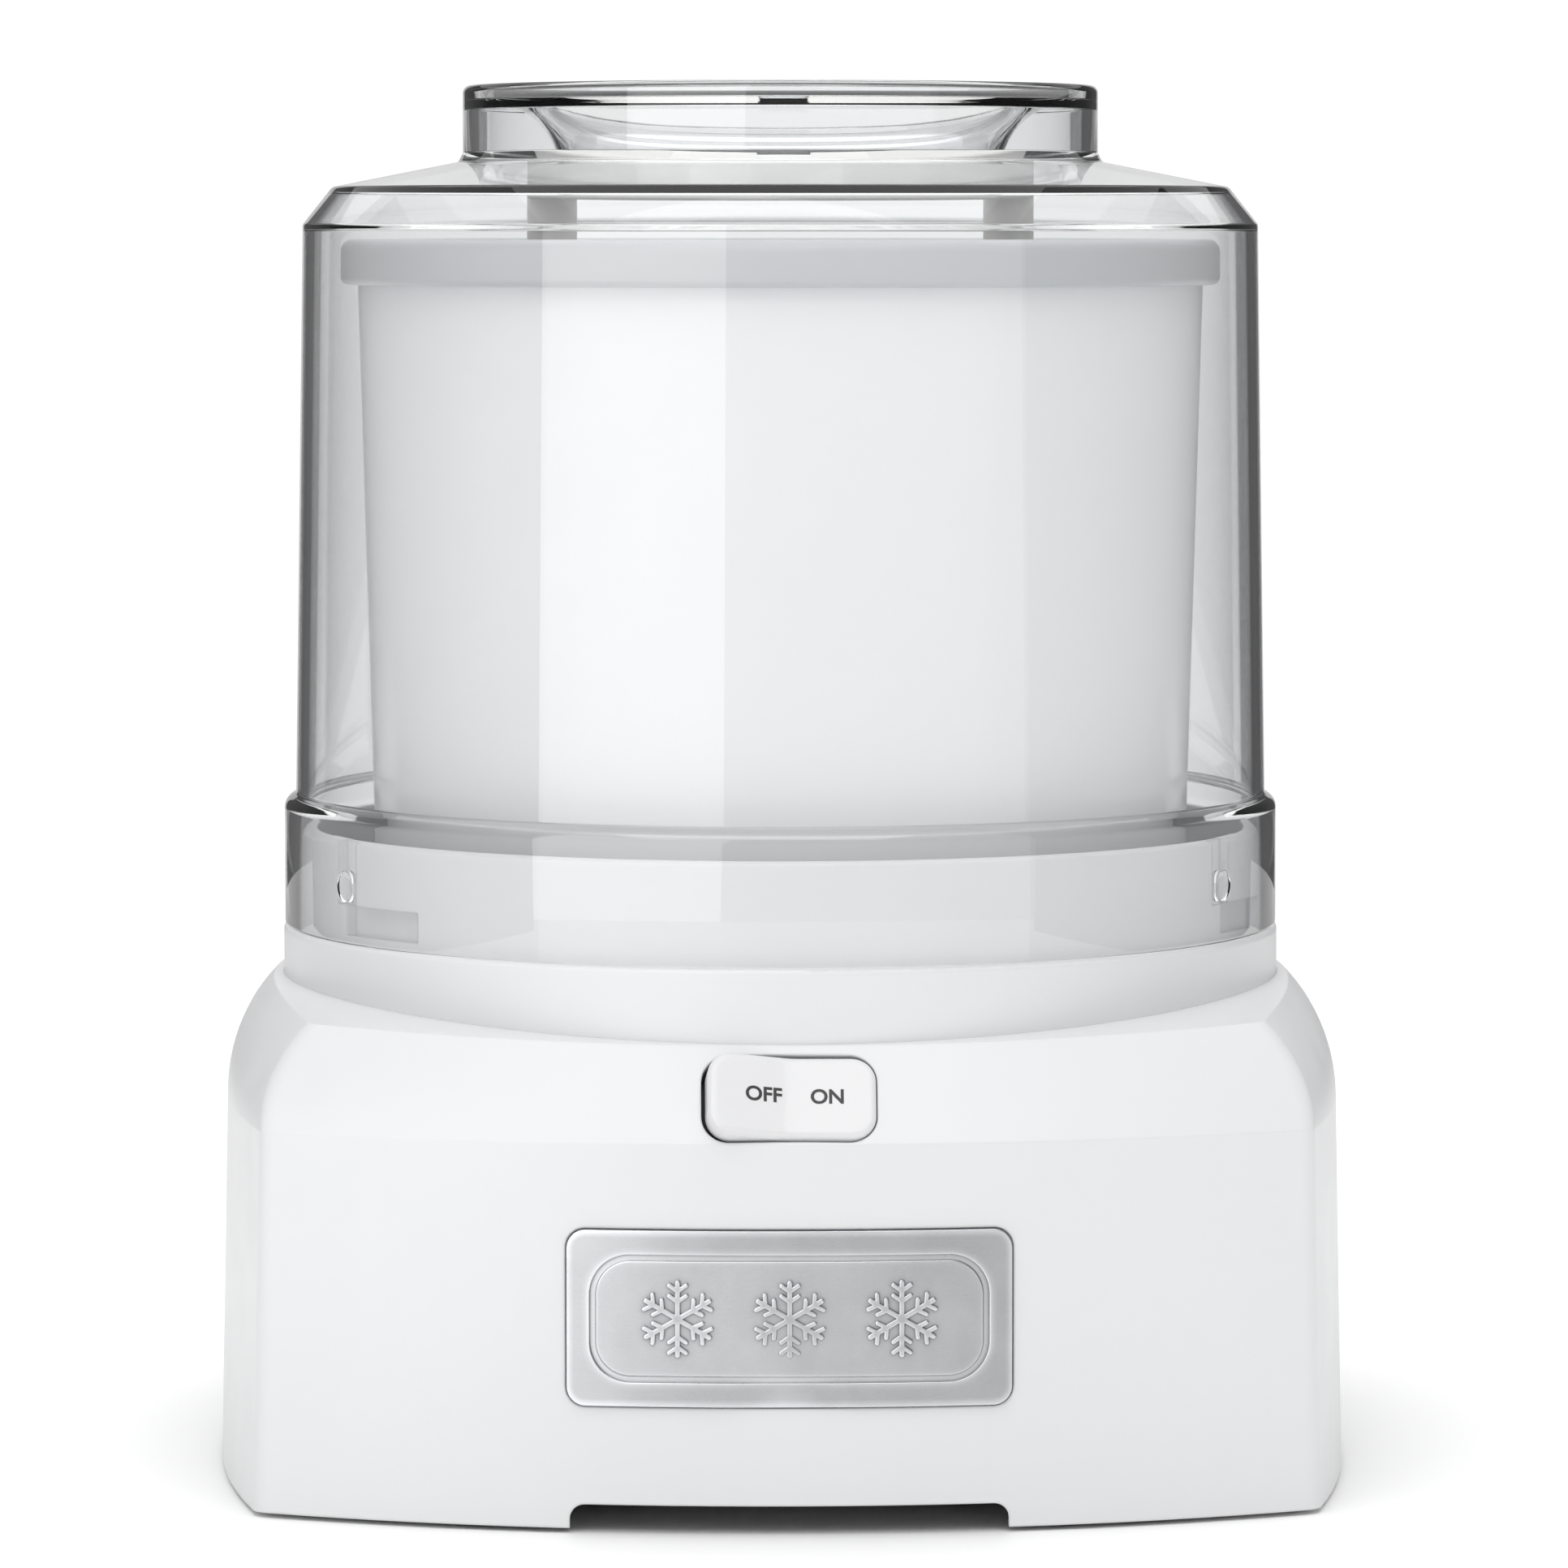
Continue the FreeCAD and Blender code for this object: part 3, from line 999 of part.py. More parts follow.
# ---------------------------------------------------------------- motor
def at_motor(shape):
    copy = shape.copy()
    copy.translate(MOTOR_AXIS)
    return copy


def motor_screw_points():
    return [MOTOR_AXIS + Vector(x, y, 0) for x, y in ((-MOTOR_SCREW_X, MOTOR_SCREW_Y),
                                             (MOTOR_SCREW_X, -MOTOR_SCREW_Y))]


def shading_boxes():
    """Four small upright slots beside the bore, in two pairs."""
    places = []
    for side in (-1, 1):
        for reach in (0.0, 5.0):
            angle = math.radians(90 * side + 38)
            places.append(polar(ROTOR_RADIUS + AIR_GAP + 2.2 + reach, angle))
    return places


def motor_stator():
    body = block(STATOR_NEAR_X, STATOR_FAR_X, -STATOR_HALF_DEPTH, STATOR_HALF_DEPTH,
                 STATOR_BOTTOM_Z, STATOR_TOP_Z)
    cuts = [
        cylinder(ROTOR_RADIUS + AIR_GAP, STATOR_BOTTOM_Z - 1, STATOR_TOP_Z + 1),
        block(WINDOW_NEAR_X, WINDOW_FAR_X, -WINDOW_HALF_DEPTH, WINDOW_HALF_DEPTH,
              STATOR_BOTTOM_Z - 1, STATOR_TOP_Z + 1),
    ]
    body = body.cut(joined(cuts))
    body = at_motor(body)
    holes = [cylinder(SCREW_RADIUS + SCREW_CLEARANCE, STATOR_BOTTOM_Z - 1, STATOR_TOP_Z + 1, point)
             for point in motor_screw_points()]
    half = SHADING_ROD / 2
    for place in shading_boxes():
        point = MOTOR_AXIS + place
        holes.append(block(point.x - half, point.x + half, point.y - half, point.y + half,
                           STATOR_BOTTOM_Z - 1, STATOR_TOP_Z + 1))
    return body.cut(joined(holes))


def shading_rings():
    """Two closed copper loops, each through two slots beside the bore."""
    half = SHADING_ROD / 2
    places = shading_boxes()
    loops = []
    for first, second in ((places[0], places[1]), (places[2], places[3])):
        rods = []
        for place in (first, second):
            point = MOTOR_AXIS + place
            rods.append(block(point.x - half, point.x + half, point.y - half, point.y + half,
                              STATOR_BOTTOM_Z - SHADING_ROD, STATOR_TOP_Z + SHADING_ROD))
        low_x, high_x = sorted((first.x, second.x))
        low_y, high_y = sorted((first.y, second.y))
        for low in (STATOR_BOTTOM_Z - SHADING_ROD, STATOR_TOP_Z):
            rods.append(block(MOTOR_AXIS.x + low_x - half, MOTOR_AXIS.x + high_x + half,
                              MOTOR_AXIS.y + low_y - half, MOTOR_AXIS.y + high_y + half,
                              low, low + SHADING_ROD))
        loops.append(joined(rods))
    return loops


def leg_ring(grow, half_length):
    """A box around the stator's far leg, grown on all four long sides."""
    return at_motor(block(WINDOW_FAR_X - grow, STATOR_FAR_X + grow, -half_length, half_length,
                          STATOR_BOTTOM_Z - grow, STATOR_TOP_Z + grow))


def motor_bobbin():
    flange = WINDING_THICKNESS + BOBBIN_WALL
    tube = leg_ring(BOBBIN_WALL + BODY_GAP, BOBBIN_HALF_LENGTH)
    ends = leg_ring(flange, BOBBIN_HALF_LENGTH).cut(leg_ring(2 * flange, BOBBIN_HALF_LENGTH - BOBBIN_WALL))
    return joined([tube, ends]).cut(leg_ring(BODY_GAP, 2 * BOBBIN_HALF_LENGTH))


def motor_winding():
    length = BOBBIN_HALF_LENGTH - BOBBIN_WALL - 0.05
    coil = leg_ring(WINDING_THICKNESS, length)
    coil = coil.makeFillet(3.0, [edge for edge in coil.Edges if abs(edge.Length - 2 * length) < 0.01])
    return coil.cut(leg_ring(BOBBIN_WALL + 2 * BODY_GAP, 2 * length))


def rotor_core():
    core = cylinder(ROTOR_RADIUS, STATOR_BOTTOM_Z - ROTOR_OVERHANG, STATOR_TOP_Z + ROTOR_OVERHANG)
    grooves = around(cylinder(0.9, 0, CASE_TOP_Z, Vector(ROTOR_RADIUS - 1.6, 0, 0)), 16)
    core = core.cut(joined(grooves))
    return at_motor(core.cut(cylinder(MOTOR_SHAFT_RADIUS, 0, CASE_TOP_Z)))


def motor_shaft():
    return cylinder(MOTOR_SHAFT_RADIUS, FAN_BOTTOM_Z - SHAFT_BELOW_FAN, FIRST_Z + FIRST_FACE + 1.5,
                    MOTOR_AXIS)


def cooling_fan():
    hub = cylinder(FAN_HUB_RADIUS, FAN_BOTTOM_Z, FAN_BOTTOM_Z + FAN_HEIGHT)
    disc = cylinder(FAN_RADIUS, FAN_BOTTOM_Z + FAN_HEIGHT - 1.2, FAN_BOTTOM_Z + FAN_HEIGHT)
    blade = block(FAN_HUB_RADIUS - 1, FAN_RADIUS - 0.5, -0.6, 0.6, FAN_BOTTOM_Z,
                  FAN_BOTTOM_Z + FAN_HEIGHT - 0.5)
    fan = joined([hub, disc] + around(blade, FAN_BLADES))
    return at_motor(fan.cut(cylinder(MOTOR_SHAFT_RADIUS, 0, 2 * FAN_HEIGHT + FAN_BOTTOM_Z)))


def motor_bracket(stator_face, direction):
    """A bridge over the rotor that carries one bush; direction is +1 above and -1 below."""
    near = stator_face + direction * BRACKET_STANDOFF
    far = near + direction * BRACKET_THICKNESS
    low, high = sorted((near, far))
    leg_low, leg_high = sorted((stator_face, near))
    first, second = motor_screw_points()
    along = (second - first).normalize()
    angle = math.degrees(math.atan2(along.y, along.x))
    middle = (first + second) * 0.5
    span = first.distanceToPoint(second)
    bar = rounded_slab(span + BRACKET_WIDTH * 0.7, BRACKET_WIDTH, BRACKET_WIDTH * 0.3, high - low)
    bar.rotate(Vector(0, 0, 0), Vector(0, 0, 1), angle)
    bar.translate(Vector(middle.x, middle.y, low))
    legs = [cylinder(4.5, leg_low, leg_high, point) for point in (first, second)]
    body = joined([bar] + legs)
    cuts = [cylinder(SCREW_RADIUS + SCREW_CLEARANCE, low - 9, high + 9, p) for p in (first, second)]
    cuts.append(cylinder(MOTOR_BUSH_RADIUS, low - 9, high + 9, MOTOR_AXIS))
    return body.cut(joined(cuts))


def upper_motor_bracket():
    return motor_bracket(STATOR_TOP_Z, 1)


def lower_motor_bracket():
    return motor_bracket(STATOR_BOTTOM_Z, -1)


def motor_bushes():
    inner = MOTOR_SHAFT_RADIUS + AXLE_RUNNING_FIT
    upper_low = STATOR_TOP_Z + BRACKET_STANDOFF
    lower_high = STATOR_BOTTOM_Z - BRACKET_STANDOFF
    upper = ring(MOTOR_BUSH_RADIUS, inner, upper_low, upper_low + BRACKET_THICKNESS + 1.0, MOTOR_AXIS)
    lower = ring(MOTOR_BUSH_RADIUS, inner, lower_high - BRACKET_THICKNESS, lower_high, MOTOR_AXIS)
    return [upper, lower]


def motor_screws():
    return [screw(point, LOWER_BRACKET_Z, CASE_INSIDE_Z) for point in motor_screw_points()]


# ---------------------------------------------------------------- freezer bowl
PLATE_UNDER_Z = COUPLER_TOP_Z + 0.3
PLATE_OVER_Z = PLATE_UNDER_Z + DRIVE_PLATE_THICKNESS
SHELL_TOP_Z = BOWL_RIM_TOP_Z - BOWL_RIM_LIP - LINER_WALL - 2 * BODY_GAP
FLANGE_Z = SHELL_TOP_Z + BODY_GAP


def bowl_radius(z):
    """The shell's outer radius at this height."""
    share = (z - BOWL_BOTTOM_Z) / (SHELL_TOP_Z - BOWL_BOTTOM_Z)
    return BOWL_BOTTOM_RADIUS + share * (BOWL_TOP_RADIUS - BOWL_BOTTOM_RADIUS)


def liner_radius(z):
    """The liner's inner radius at this height."""
    share = (z - LINER_FLOOR_Z) / (SHELL_TOP_Z - LINER_FLOOR_Z)
    return LINER_BOTTOM_RADIUS + share * (LINER_TOP_RADIUS - LINER_BOTTOM_RADIUS)


def bowl_shell():
    wall = BOWL_SHELL_WALL
    seat = DRIVE_PLATE_RADIUS + BODY_GAP
    return turned([
        (0, PLATE_OVER_Z + BODY_GAP, 0), (seat, PLATE_OVER_Z + BODY_GAP, 0),
        (seat, BOWL_BOTTOM_Z, 0), (BOWL_BOTTOM_RADIUS, BOWL_BOTTOM_Z, 6.0),
        (BOWL_TOP_RADIUS, SHELL_TOP_Z, 0), (BOWL_TOP_RADIUS - wall, SHELL_TOP_Z, 0),
        (BOWL_BOTTOM_RADIUS - wall, BOWL_BOTTOM_Z + wall, 4.0),
        (seat + wall, BOWL_BOTTOM_Z + wall, 0), (seat + wall, PLATE_OVER_Z + wall, 1.0),
        (0, PLATE_OVER_Z + wall, 0),
    ])


def bowl_liner():
    wall = LINER_WALL
    flange = BOWL_TOP_RADIUS - 0.4
    return turned([
        (0, LINER_FLOOR_Z - wall, 0),
        (LINER_BOTTOM_RADIUS + wall, LINER_FLOOR_Z - wall, LINER_CORNER + wall),
        (LINER_TOP_RADIUS + wall, FLANGE_Z, 0), (flange, FLANGE_Z, 0),
        (flange, FLANGE_Z + wall, 0), (LINER_TOP_RADIUS, FLANGE_Z + wall, 1.0),
        (LINER_BOTTOM_RADIUS, LINER_FLOOR_Z, LINER_CORNER), (0, LINER_FLOOR_Z, 0),
    ])


def bowl_coolant():
    gap = BODY_GAP
    low = PLATE_OVER_Z + BOWL_SHELL_WALL + gap
    high = SHELL_TOP_Z - 6.0
    inset = BOWL_SHELL_WALL + 0.15
    under = LINER_FLOOR_Z - LINER_WALL - gap
    return turned([
        (0, low, 0), (bowl_radius(low) - inset, low, 1.0), (bowl_radius(high) - inset, high, 0),
        (liner_radius(high) + LINER_WALL + 0.15, high, 0),
        (liner_radius(LINER_FLOOR_Z) + LINER_WALL + 0.15, under, LINER_CORNER + LINER_WALL),
        (0, under, 0),
    ])


def bowl_rim():
    """A grey ring hooked over the flange, with the shell's outer edge inside it."""
    low = BOWL_RIM_TOP_Z - BOWL_RIM_HEIGHT
    under = FLANGE_Z + LINER_WALL + BODY_GAP
    hook = BOWL_TOP_RADIUS + BODY_GAP
    return turned([
        (bowl_radius(low) + BODY_GAP, low, 0), (BOWL_RIM_RADIUS, low, 1.6),
        (BOWL_RIM_RADIUS, BOWL_RIM_TOP_Z, 2.6), (LINER_TOP_RADIUS, BOWL_RIM_TOP_Z, 1.2),
        (LINER_TOP_RADIUS, under, 0), (hook, under, 0), (hook, SHELL_TOP_Z, 0),
    ])


def bowl_drive_plate():
    plate = turned([(0, PLATE_UNDER_Z, 0), (DRIVE_PLATE_RADIUS, PLATE_UNDER_Z, 0.8),
                    (DRIVE_PLATE_RADIUS, PLATE_OVER_Z, 0), (0, PLATE_OVER_Z, 0)])
    sockets = [cylinder(LUG_RADIUS + LUG_CLEARANCE, PLATE_UNDER_Z - 1, PLATE_OVER_Z + 1, place)
               for place in lug_places()]
    middle = cylinder(OUTPUT_SHAFT_RADIUS + 2, PLATE_UNDER_Z - 1, PLATE_OVER_Z + 1)
    return plate.cut(joined(sockets + [middle]))


# ---------------------------------------------------------------- mixing paddle and lid
def mixing_paddle():
    """A stationary U-shaped paddle hung from a ring that the lid's two keys hold."""
    outer = PADDLE_RING_RADIUS
    inner = outer - PADDLE_RING_WIDTH
    ring_low = PADDLE_TOP_Z - PADDLE_RING_HEIGHT
    neck_z = BOWL_RIM_TOP_Z - 14
    shoulder_z = neck_z - 22
    low = LINER_FLOOR_Z + PADDLE_FLOOR_GAP
    wide_top = liner_radius(shoulder_z) - PADDLE_WALL_GAP
    wide_low = liner_radius(low) - PADDLE_WALL_GAP
    arm, bar = PADDLE_ARM_WIDTH, PADDLE_BAR_HEIGHT
    half = [
        (inner, PADDLE_TOP_Z - 1, 0), (outer, PADDLE_TOP_Z - 1, 0), (outer, neck_z, 8.0),
        (wide_top, shoulder_z, 10.0), (wide_low, low, LINER_CORNER + 3),
    ]
    back = [(wide_low - arm, low + bar, 9.0), (wide_top - arm, shoulder_z - 6, 10.0),
            (inner, neck_z - 6, 8.0)]
    outline = [(Vector(x, 0, z), r) for x, z, r in half]
    outline += [(Vector(-x, 0, z), r) for x, z, r in reversed(half)]
    outline += [(Vector(-x, 0, z), r) for x, z, r in reversed(back)]
    outline += [(Vector(x, 0, z), r) for x, z, r in back]
    frame = Part.Face(rounded_path(outline)).extrude(Vector(0, PADDLE_THICKNESS, 0))
    frame.translate(Vector(0, -PADDLE_THICKNESS / 2, 0))
    collar = turned([(inner, ring_low, 1.0), (outer, ring_low, 1.0),
                     (outer, PADDLE_TOP_Z, 1.0), (inner, PADDLE_TOP_Z, 1.0)])
    vane = block(-PADDLE_THICKNESS / 2, PADDLE_THICKNESS / 2, -2 * arm / 3, 2 * arm / 3,
                 low + bar / 2, low + bar + 34)
    vanes = []
    for side in (-1, 1):
        copy = vane.copy()
        copy.rotate(Vector(0, 0, 0), Vector(0, 0, 1), 35)
        copy.translate(Vector(side * wide_low * 0.4, 0, 0))
        vanes.append(copy)
    paddle = joined([frame, collar] + vanes)
    key_gap = KEY_CLEARANCE
    slot_outer = FUNNEL_RADIUS + FUNNEL_WALL + key_gap
    slot_half = KEY_WIDTH / 2 + key_gap
    slots = [block(-slot_half, slot_half, -slot_outer, slot_outer, ring_low - 1, PADDLE_TOP_Z + 1)]
    return paddle.cut(slots[0])


def lid_funnel():
    """A horn-shaped wall from the spout down to the ingredient opening, with two keys below it."""
    rim = SPOUT_RADIUS - SPOUT_WALL + 0.4
    high, low = FUNNEL_MOUTH_Z, FUNNEL_FOOT_Z
    inner, outer = FUNNEL_RADIUS, FUNNEL_RADIUS + FUNNEL_WALL
    upper = Part.Arc(Vector(rim, 0, high), Vector(inner + 4.4, 0, high - 2.6),
                     Vector(inner, 0, low)).toShape()
    lower = Part.Arc(Vector(outer, 0, low), Vector(outer + 4.2, 0, high - 2.6 - FUNNEL_WALL),
                     Vector(rim, 0, high - FUNNEL_WALL)).toShape()
    foot = Part.LineSegment(Vector(inner, 0, low), Vector(outer, 0, low)).toShape()
    root = Part.LineSegment(Vector(rim, 0, high - FUNNEL_WALL), Vector(rim, 0, high)).toShape()
    horn = Part.Face(Part.Wire([upper, foot, lower, root]))
    horn = horn.revolve(Vector(0, 0, 0), Vector(0, 0, 1), 360)
    keys = ring(outer, inner, low - KEY_LENGTH, low + 0.5)
    keys = keys.common(block(-KEY_WIDTH / 2, KEY_WIDTH / 2, -outer, outer, low - KEY_LENGTH, low + 1))
    return [horn, keys]


def lid_moulding():
    """The whole clear moulding."""
    wall = LID_WALL
    foot_z = NECK_TOP_Z + LID_SEAM
    throat = SPOUT_RADIUS - SPOUT_WALL
    shell = turned([
        (COLLAR_INNER_RADIUS, foot_z, 0), (COLLAR_RADIUS, foot_z, 0.6),
        (COLLAR_RADIUS, COLLAR_TOP_Z - 1.7, COLLAR_FILLET), (LID_FOOT_RADIUS, COLLAR_TOP_Z, 0.8),
        (CHAMFER_RADIUS, CHAMFER_Z, 1.2), (SLOPE_RADIUS, SLOPE_Z, 1.6),
        (SPOUT_RADIUS + 1.0, SPOUT_FOOT_Z - 1.0, 0.8), (SPOUT_RADIUS, SPOUT_FOOT_Z + 1, 0.8),
        (SPOUT_RADIUS, LID_TOP_Z, 2.5), (throat, LID_TOP_Z, 0.6),
        (throat, SPOUT_FOOT_Z - wall, 1.0), (SLOPE_RADIUS - 1.0, SLOPE_Z - wall, 1.6),
        (CHAMFER_RADIUS - wall, CHAMFER_Z - 1.2, 1.2),
        (LID_FOOT_RADIUS - wall, COLLAR_TOP_Z - 1.0, 1.0),
        (COLLAR_INNER_RADIUS, COLLAR_TOP_Z - 2.6, 1.0),
    ])
    nubs = []
    for angle in NUB_ANGLES:
        nub = Part.makeCylinder(NUB_RADIUS, NUB_REACH + 1,
                                Vector(COLLAR_INNER_RADIUS - NUB_REACH, 0, NUB_Z), Vector(1, 0, 0))
        nub.rotate(Vector(0, 0, 0), Vector(0, 0, 1), angle)
        nubs.append(nub)
    return joined([shell] + lid_funnel() + nubs)


def spout_envelope():
    return cylinder(SPOUT_RADIUS + SPOUT_SPLIT, CHAMFER_Z, LID_TOP_Z + 1)


def lid():
    """The clear wall, its slope and the collar with three nubs."""
    return lid_moulding().cut(spout_envelope())


def lid_spout():
    """The clear spout with its funnel and the two keys that hold the paddle."""
    return lid_moulding().common(spout_envelope())


# ---------------------------------------------------------------- leads
def tube(points, radius, bend):
    """A round lead along straight runs joined by tangent arcs."""
    path = rounded_path([(point, bend) for point in points], closed=False)
    direction = (points[1] - points[0]).normalize()
    profile = Part.Wire(Part.makeCircle(radius, points[0], direction))
    return path.makePipeShell([profile], True, False)


def internal_leads():
    """Inlet to switch, switch to winding, and inlet to winding."""
    inlet_y = rear_wall_y(GLAND_X) - HOUSING_WALL - 7
    left = terminal_tip(-1) + Vector(0, 0, -0.8)
    right = terminal_tip(1) + Vector(0, 0, -0.8)
    low = COVER_TOP_Z + 7
    aisle = POST_X - POST_RADIUS - 7
    flange_x = MOTOR_AXIS.x + STATOR_FAR_X + WINDING_THICKNESS + BOBBIN_WALL + LEAD_RADIUS + 0.2
    coil_z = (STATOR_BOTTOM_Z + STATOR_TOP_Z) / 2
    to_switch = [
        Vector(GLAND_X - 2, inlet_y, GLAND_Z), Vector(-aisle, inlet_y - 30, low),
        Vector(-aisle, -60, low), Vector(left.x - 30, left.y + 4, low + 16),
        Vector(left.x, left.y, low + 30), left,
    ]
    to_winding = [
        right, Vector(right.x, right.y, low + 30), Vector(right.x + 32, right.y + 6, low + 14),
        Vector(aisle, -50, low), Vector(aisle, 20, low), Vector(flange_x, MOTOR_AXIS.y - 10, coil_z),
    ]
    direct = [
        Vector(GLAND_X + 2, inlet_y, GLAND_Z), Vector(GLAND_X + 26, inlet_y - 3, low),
        Vector(40, inlet_y - 2, low), Vector(flange_x, inlet_y - 12, low + 6),
        Vector(flange_x, MOTOR_AXIS.y + 10, coil_z),
    ]
    return [tube(points, LEAD_RADIUS, 8.0) for points in (to_switch, to_winding, direct)]


# ---------------------------------------------------------------- export
NODES = (
    base_housing, bowl_well, bottom_cover, rubber_feet, cover_screws, badge_plate, cord_gland,
    rocker, switch_body, switch_terminals, internal_leads,
    gearbox_case, gearbox_plate, gearbox_screws, gear_axles, output_bushes,
    first_gear, second_gear, output_gear, output_shaft, coupler_clip, drive_coupler,
    motor_stator, shading_rings, motor_bobbin, motor_winding, rotor_core, motor_shaft,
    motor_pinion, cooling_fan, upper_motor_bracket, lower_motor_bracket, motor_bushes, motor_screws,
    bowl_shell, bowl_liner, bowl_coolant, bowl_rim, bowl_drive_plate,
    mixing_paddle, lid, lid_spout,
)


def main():
    os.makedirs("parts", exist_ok=True)
    for build in NODES:
        made = build()
        if isinstance(made, list):
            made = Part.makeCompound(made)
        made.exportStep("parts/" + build.__name__ + ".step")


main()
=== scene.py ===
import json
import math

import bmesh
import bpy
from mathutils import Matrix, Vector


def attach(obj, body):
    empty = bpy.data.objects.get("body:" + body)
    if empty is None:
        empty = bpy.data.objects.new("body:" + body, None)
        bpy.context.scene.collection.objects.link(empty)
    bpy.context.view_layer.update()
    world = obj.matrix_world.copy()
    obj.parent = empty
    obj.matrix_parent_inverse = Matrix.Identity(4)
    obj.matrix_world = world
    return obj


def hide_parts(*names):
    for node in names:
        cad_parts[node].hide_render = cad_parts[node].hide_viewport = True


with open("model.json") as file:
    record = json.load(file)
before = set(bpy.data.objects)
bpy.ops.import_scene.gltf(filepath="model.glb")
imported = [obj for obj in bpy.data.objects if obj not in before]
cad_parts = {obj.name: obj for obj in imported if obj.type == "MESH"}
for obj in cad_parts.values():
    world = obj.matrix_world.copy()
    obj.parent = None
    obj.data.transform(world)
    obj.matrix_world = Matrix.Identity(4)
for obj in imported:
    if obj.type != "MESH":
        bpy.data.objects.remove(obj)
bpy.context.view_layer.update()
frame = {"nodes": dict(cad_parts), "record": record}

# ---------------------------------------------------------------- sizes: base
HALF_DEPTH = 0.1175
WALL_DRAFT = 0.0015
BREAK_Z = 0.077
BAND_SLOPE = 0.568
DECK_EDGE_Z = 0.0942

# ---------------------------------------------------------------- sizes: lid
LID_TOP_Z = 0.2855
LID_FOOT_Z = 0.11045
LID_WALL = 0.0024
SPOUT_RADIUS = 0.0664
SPOUT_WALL = 0.0032
SPOUT_FOOT_Z = 0.2706
SLOPE_RADIUS = 0.0937
SLOPE_Z = 0.2644
CHAMFER_RADIUS = 0.0999
CHAMFER_Z = 0.2566
WALL_FOOT_RADIUS = 0.1018
COLLAR_RADIUS = 0.1042
COLLAR_TOP_Z = 0.138
COLLAR_WALL = 0.0032
FUNNEL_MOUTH_Z = 0.282
FUNNEL_RADIUS = 0.0445
FUNNEL_FOOT_Z = 0.268
FUNNEL_WALL = 0.0016
FUNNEL_LIP = 0.0004
FUNNEL_SAG = 0.0026
FUNNEL_UPPER_SPREAD = 0.0044
FUNNEL_LOWER_SPREAD = 0.0042
FUNNEL_STEPS = 14
KEY_HALF_WIDTH = 0.005
KEY_LENGTH = 0.008
KEY_INSET = 1e-5
KEY_LAP = 0.0004
KEY_STEPS = 8
NUB_ANGLES = (-150.7, -29.3, 90.0)
NUB_Z = 0.122
NUB_RADIUS = 0.0032
NUB_REACH = 0.002
NUB_ROUND = 0.0006
NUB_ROOT = 0.001
NUB_SEGMENTS = 40
LID_EDGE_ROUND = 0.0003
LID_FOOT_ROUND = 0.0007
COLLAR_ROUND = 0.0034
COLLAR_SHOULDER = 0.0017
COLLAR_CEILING = 0.0026
WALL_FOOT_ROUND = 0.0008
BEND_ROUND = 0.0012
CHAMFER_INSIDE_DROP = 0.0012
SLOPE_ROUND = 0.0016
SPOUT_FOOT_REACH = 0.001
SPOUT_FOOT_ROUND = 0.0008
SPOUT_LIP_ROUND = 0.0025
SPOUT_MOUTH_ROUND = 0.0006
INSIDE_ROUND = 0.001
INSIDE_STEP = 0.001

# ---------------------------------------------------------------- sizes: freezer bowl
RIM_RADIUS = 0.092
RIM_TOP_Z = 0.2535
RIM_FOOT_Z = 0.244
SHELL_TOP_RADIUS = 0.0886
SHELL_FOOT_RADIUS = 0.0844
SHELL_FOOT_Z = 0.0923
SHELL_TOP_Z = 0.2501
SHELL_WALL = 0.0022
PLATE_SEAT_RADIUS = 0.0521
PLATE_SEAT_Z = 0.0965
LINER_TOP_RADIUS = 0.0805
SHELL_FOOT_ROUND = 0.006
SHELL_INSIDE_ROUND = 0.004
PLATE_SEAT_ROUND = 0.0004
PLATE_SEAT_INSIDE_ROUND = 0.001
RIM_FIT = 0.0001
RIM_LEDGE = 0.0014
RIM_FOOT_ROUND = 0.0003
RIM_UNDER_ROUND = 0.0016
RIM_TOP_ROUND = 0.0026
RIM_INNER_ROUND = 0.0012

# ---------------------------------------------------------------- sizes: switch
ROCKER_WIDTH = 0.0334
ROCKER_LENGTH = 0.0174
ROCKER_CORNER = 0.005
ROCKER_PROUD = 0.0026
ROCKER_CREASE = 0.002
ROCKER_SKIRT = 0.003
ROCKER_TILT = math.radians(7.0)
ROCKER_EDGE = 0.0014
ROCKER_EDGE_STEPS = 7
ROCKER_TOP_STEPS = 9
ROCKER_LEAST_CORNER = 0.0002
ROCKER_SPINE = 0.0004
CREASE_SOFTNESS = 0.0006
PIVOT_DEPTH = 0.0032
LABEL_HEIGHT = 0.0042
LABEL_LIFT = 0.00005
LABEL_WEIGHT = 0.0001
LABEL_THICKNESS = 0.00001
OFF_CENTRE_X = -0.0056
ON_CENTRE_X = 0.0070

# ---------------------------------------------------------------- meshing
LATHE_SEGMENTS = 240
CORNER_STEPS = 6
RECTANGLE_CORNER_STEPS = 10
SIDE_PARTS = 12
LONG_SIDE_SHARE = 0.2
STRAIGHT_TURN = 0.01
CORNER_SHARE = 0.49
SHARP_ANGLE = math.radians(35.0)
MERGE_DISTANCE = 1e-7
SHORTEST_EDGE = 1e-8

# ---------------------------------------------------------------- surfaces
CLOUD_SCALE = 14.0
UNEVEN_SCALE = 90.0
SKIN_SCALE = 2600.0
SKIN_HEIGHT = 0.00002
METAL_CLOUD_SCALE = 60.0
METAL_UNEVEN_SCALE = 500.0
METAL_LINE_SCALE = 1500.0
METAL_LINE_STRENGTH = 0.15
SHEET_SCALE = 620.0
SHEET_RELIEF = 0.0001
WIRE_SCALE = 420.0
WIRE_WANDER = 0.6
WIRE_RELIEF = 0.0002
CLEAR_UNEVEN_SCALE = 30.0
CLEAR_IOR = 1.49
TINT_START = 0.3
TINT_END = 0.7
PAINTED_LIGHT_FROM = 0.45
NEARBY_SAMPLES = 8

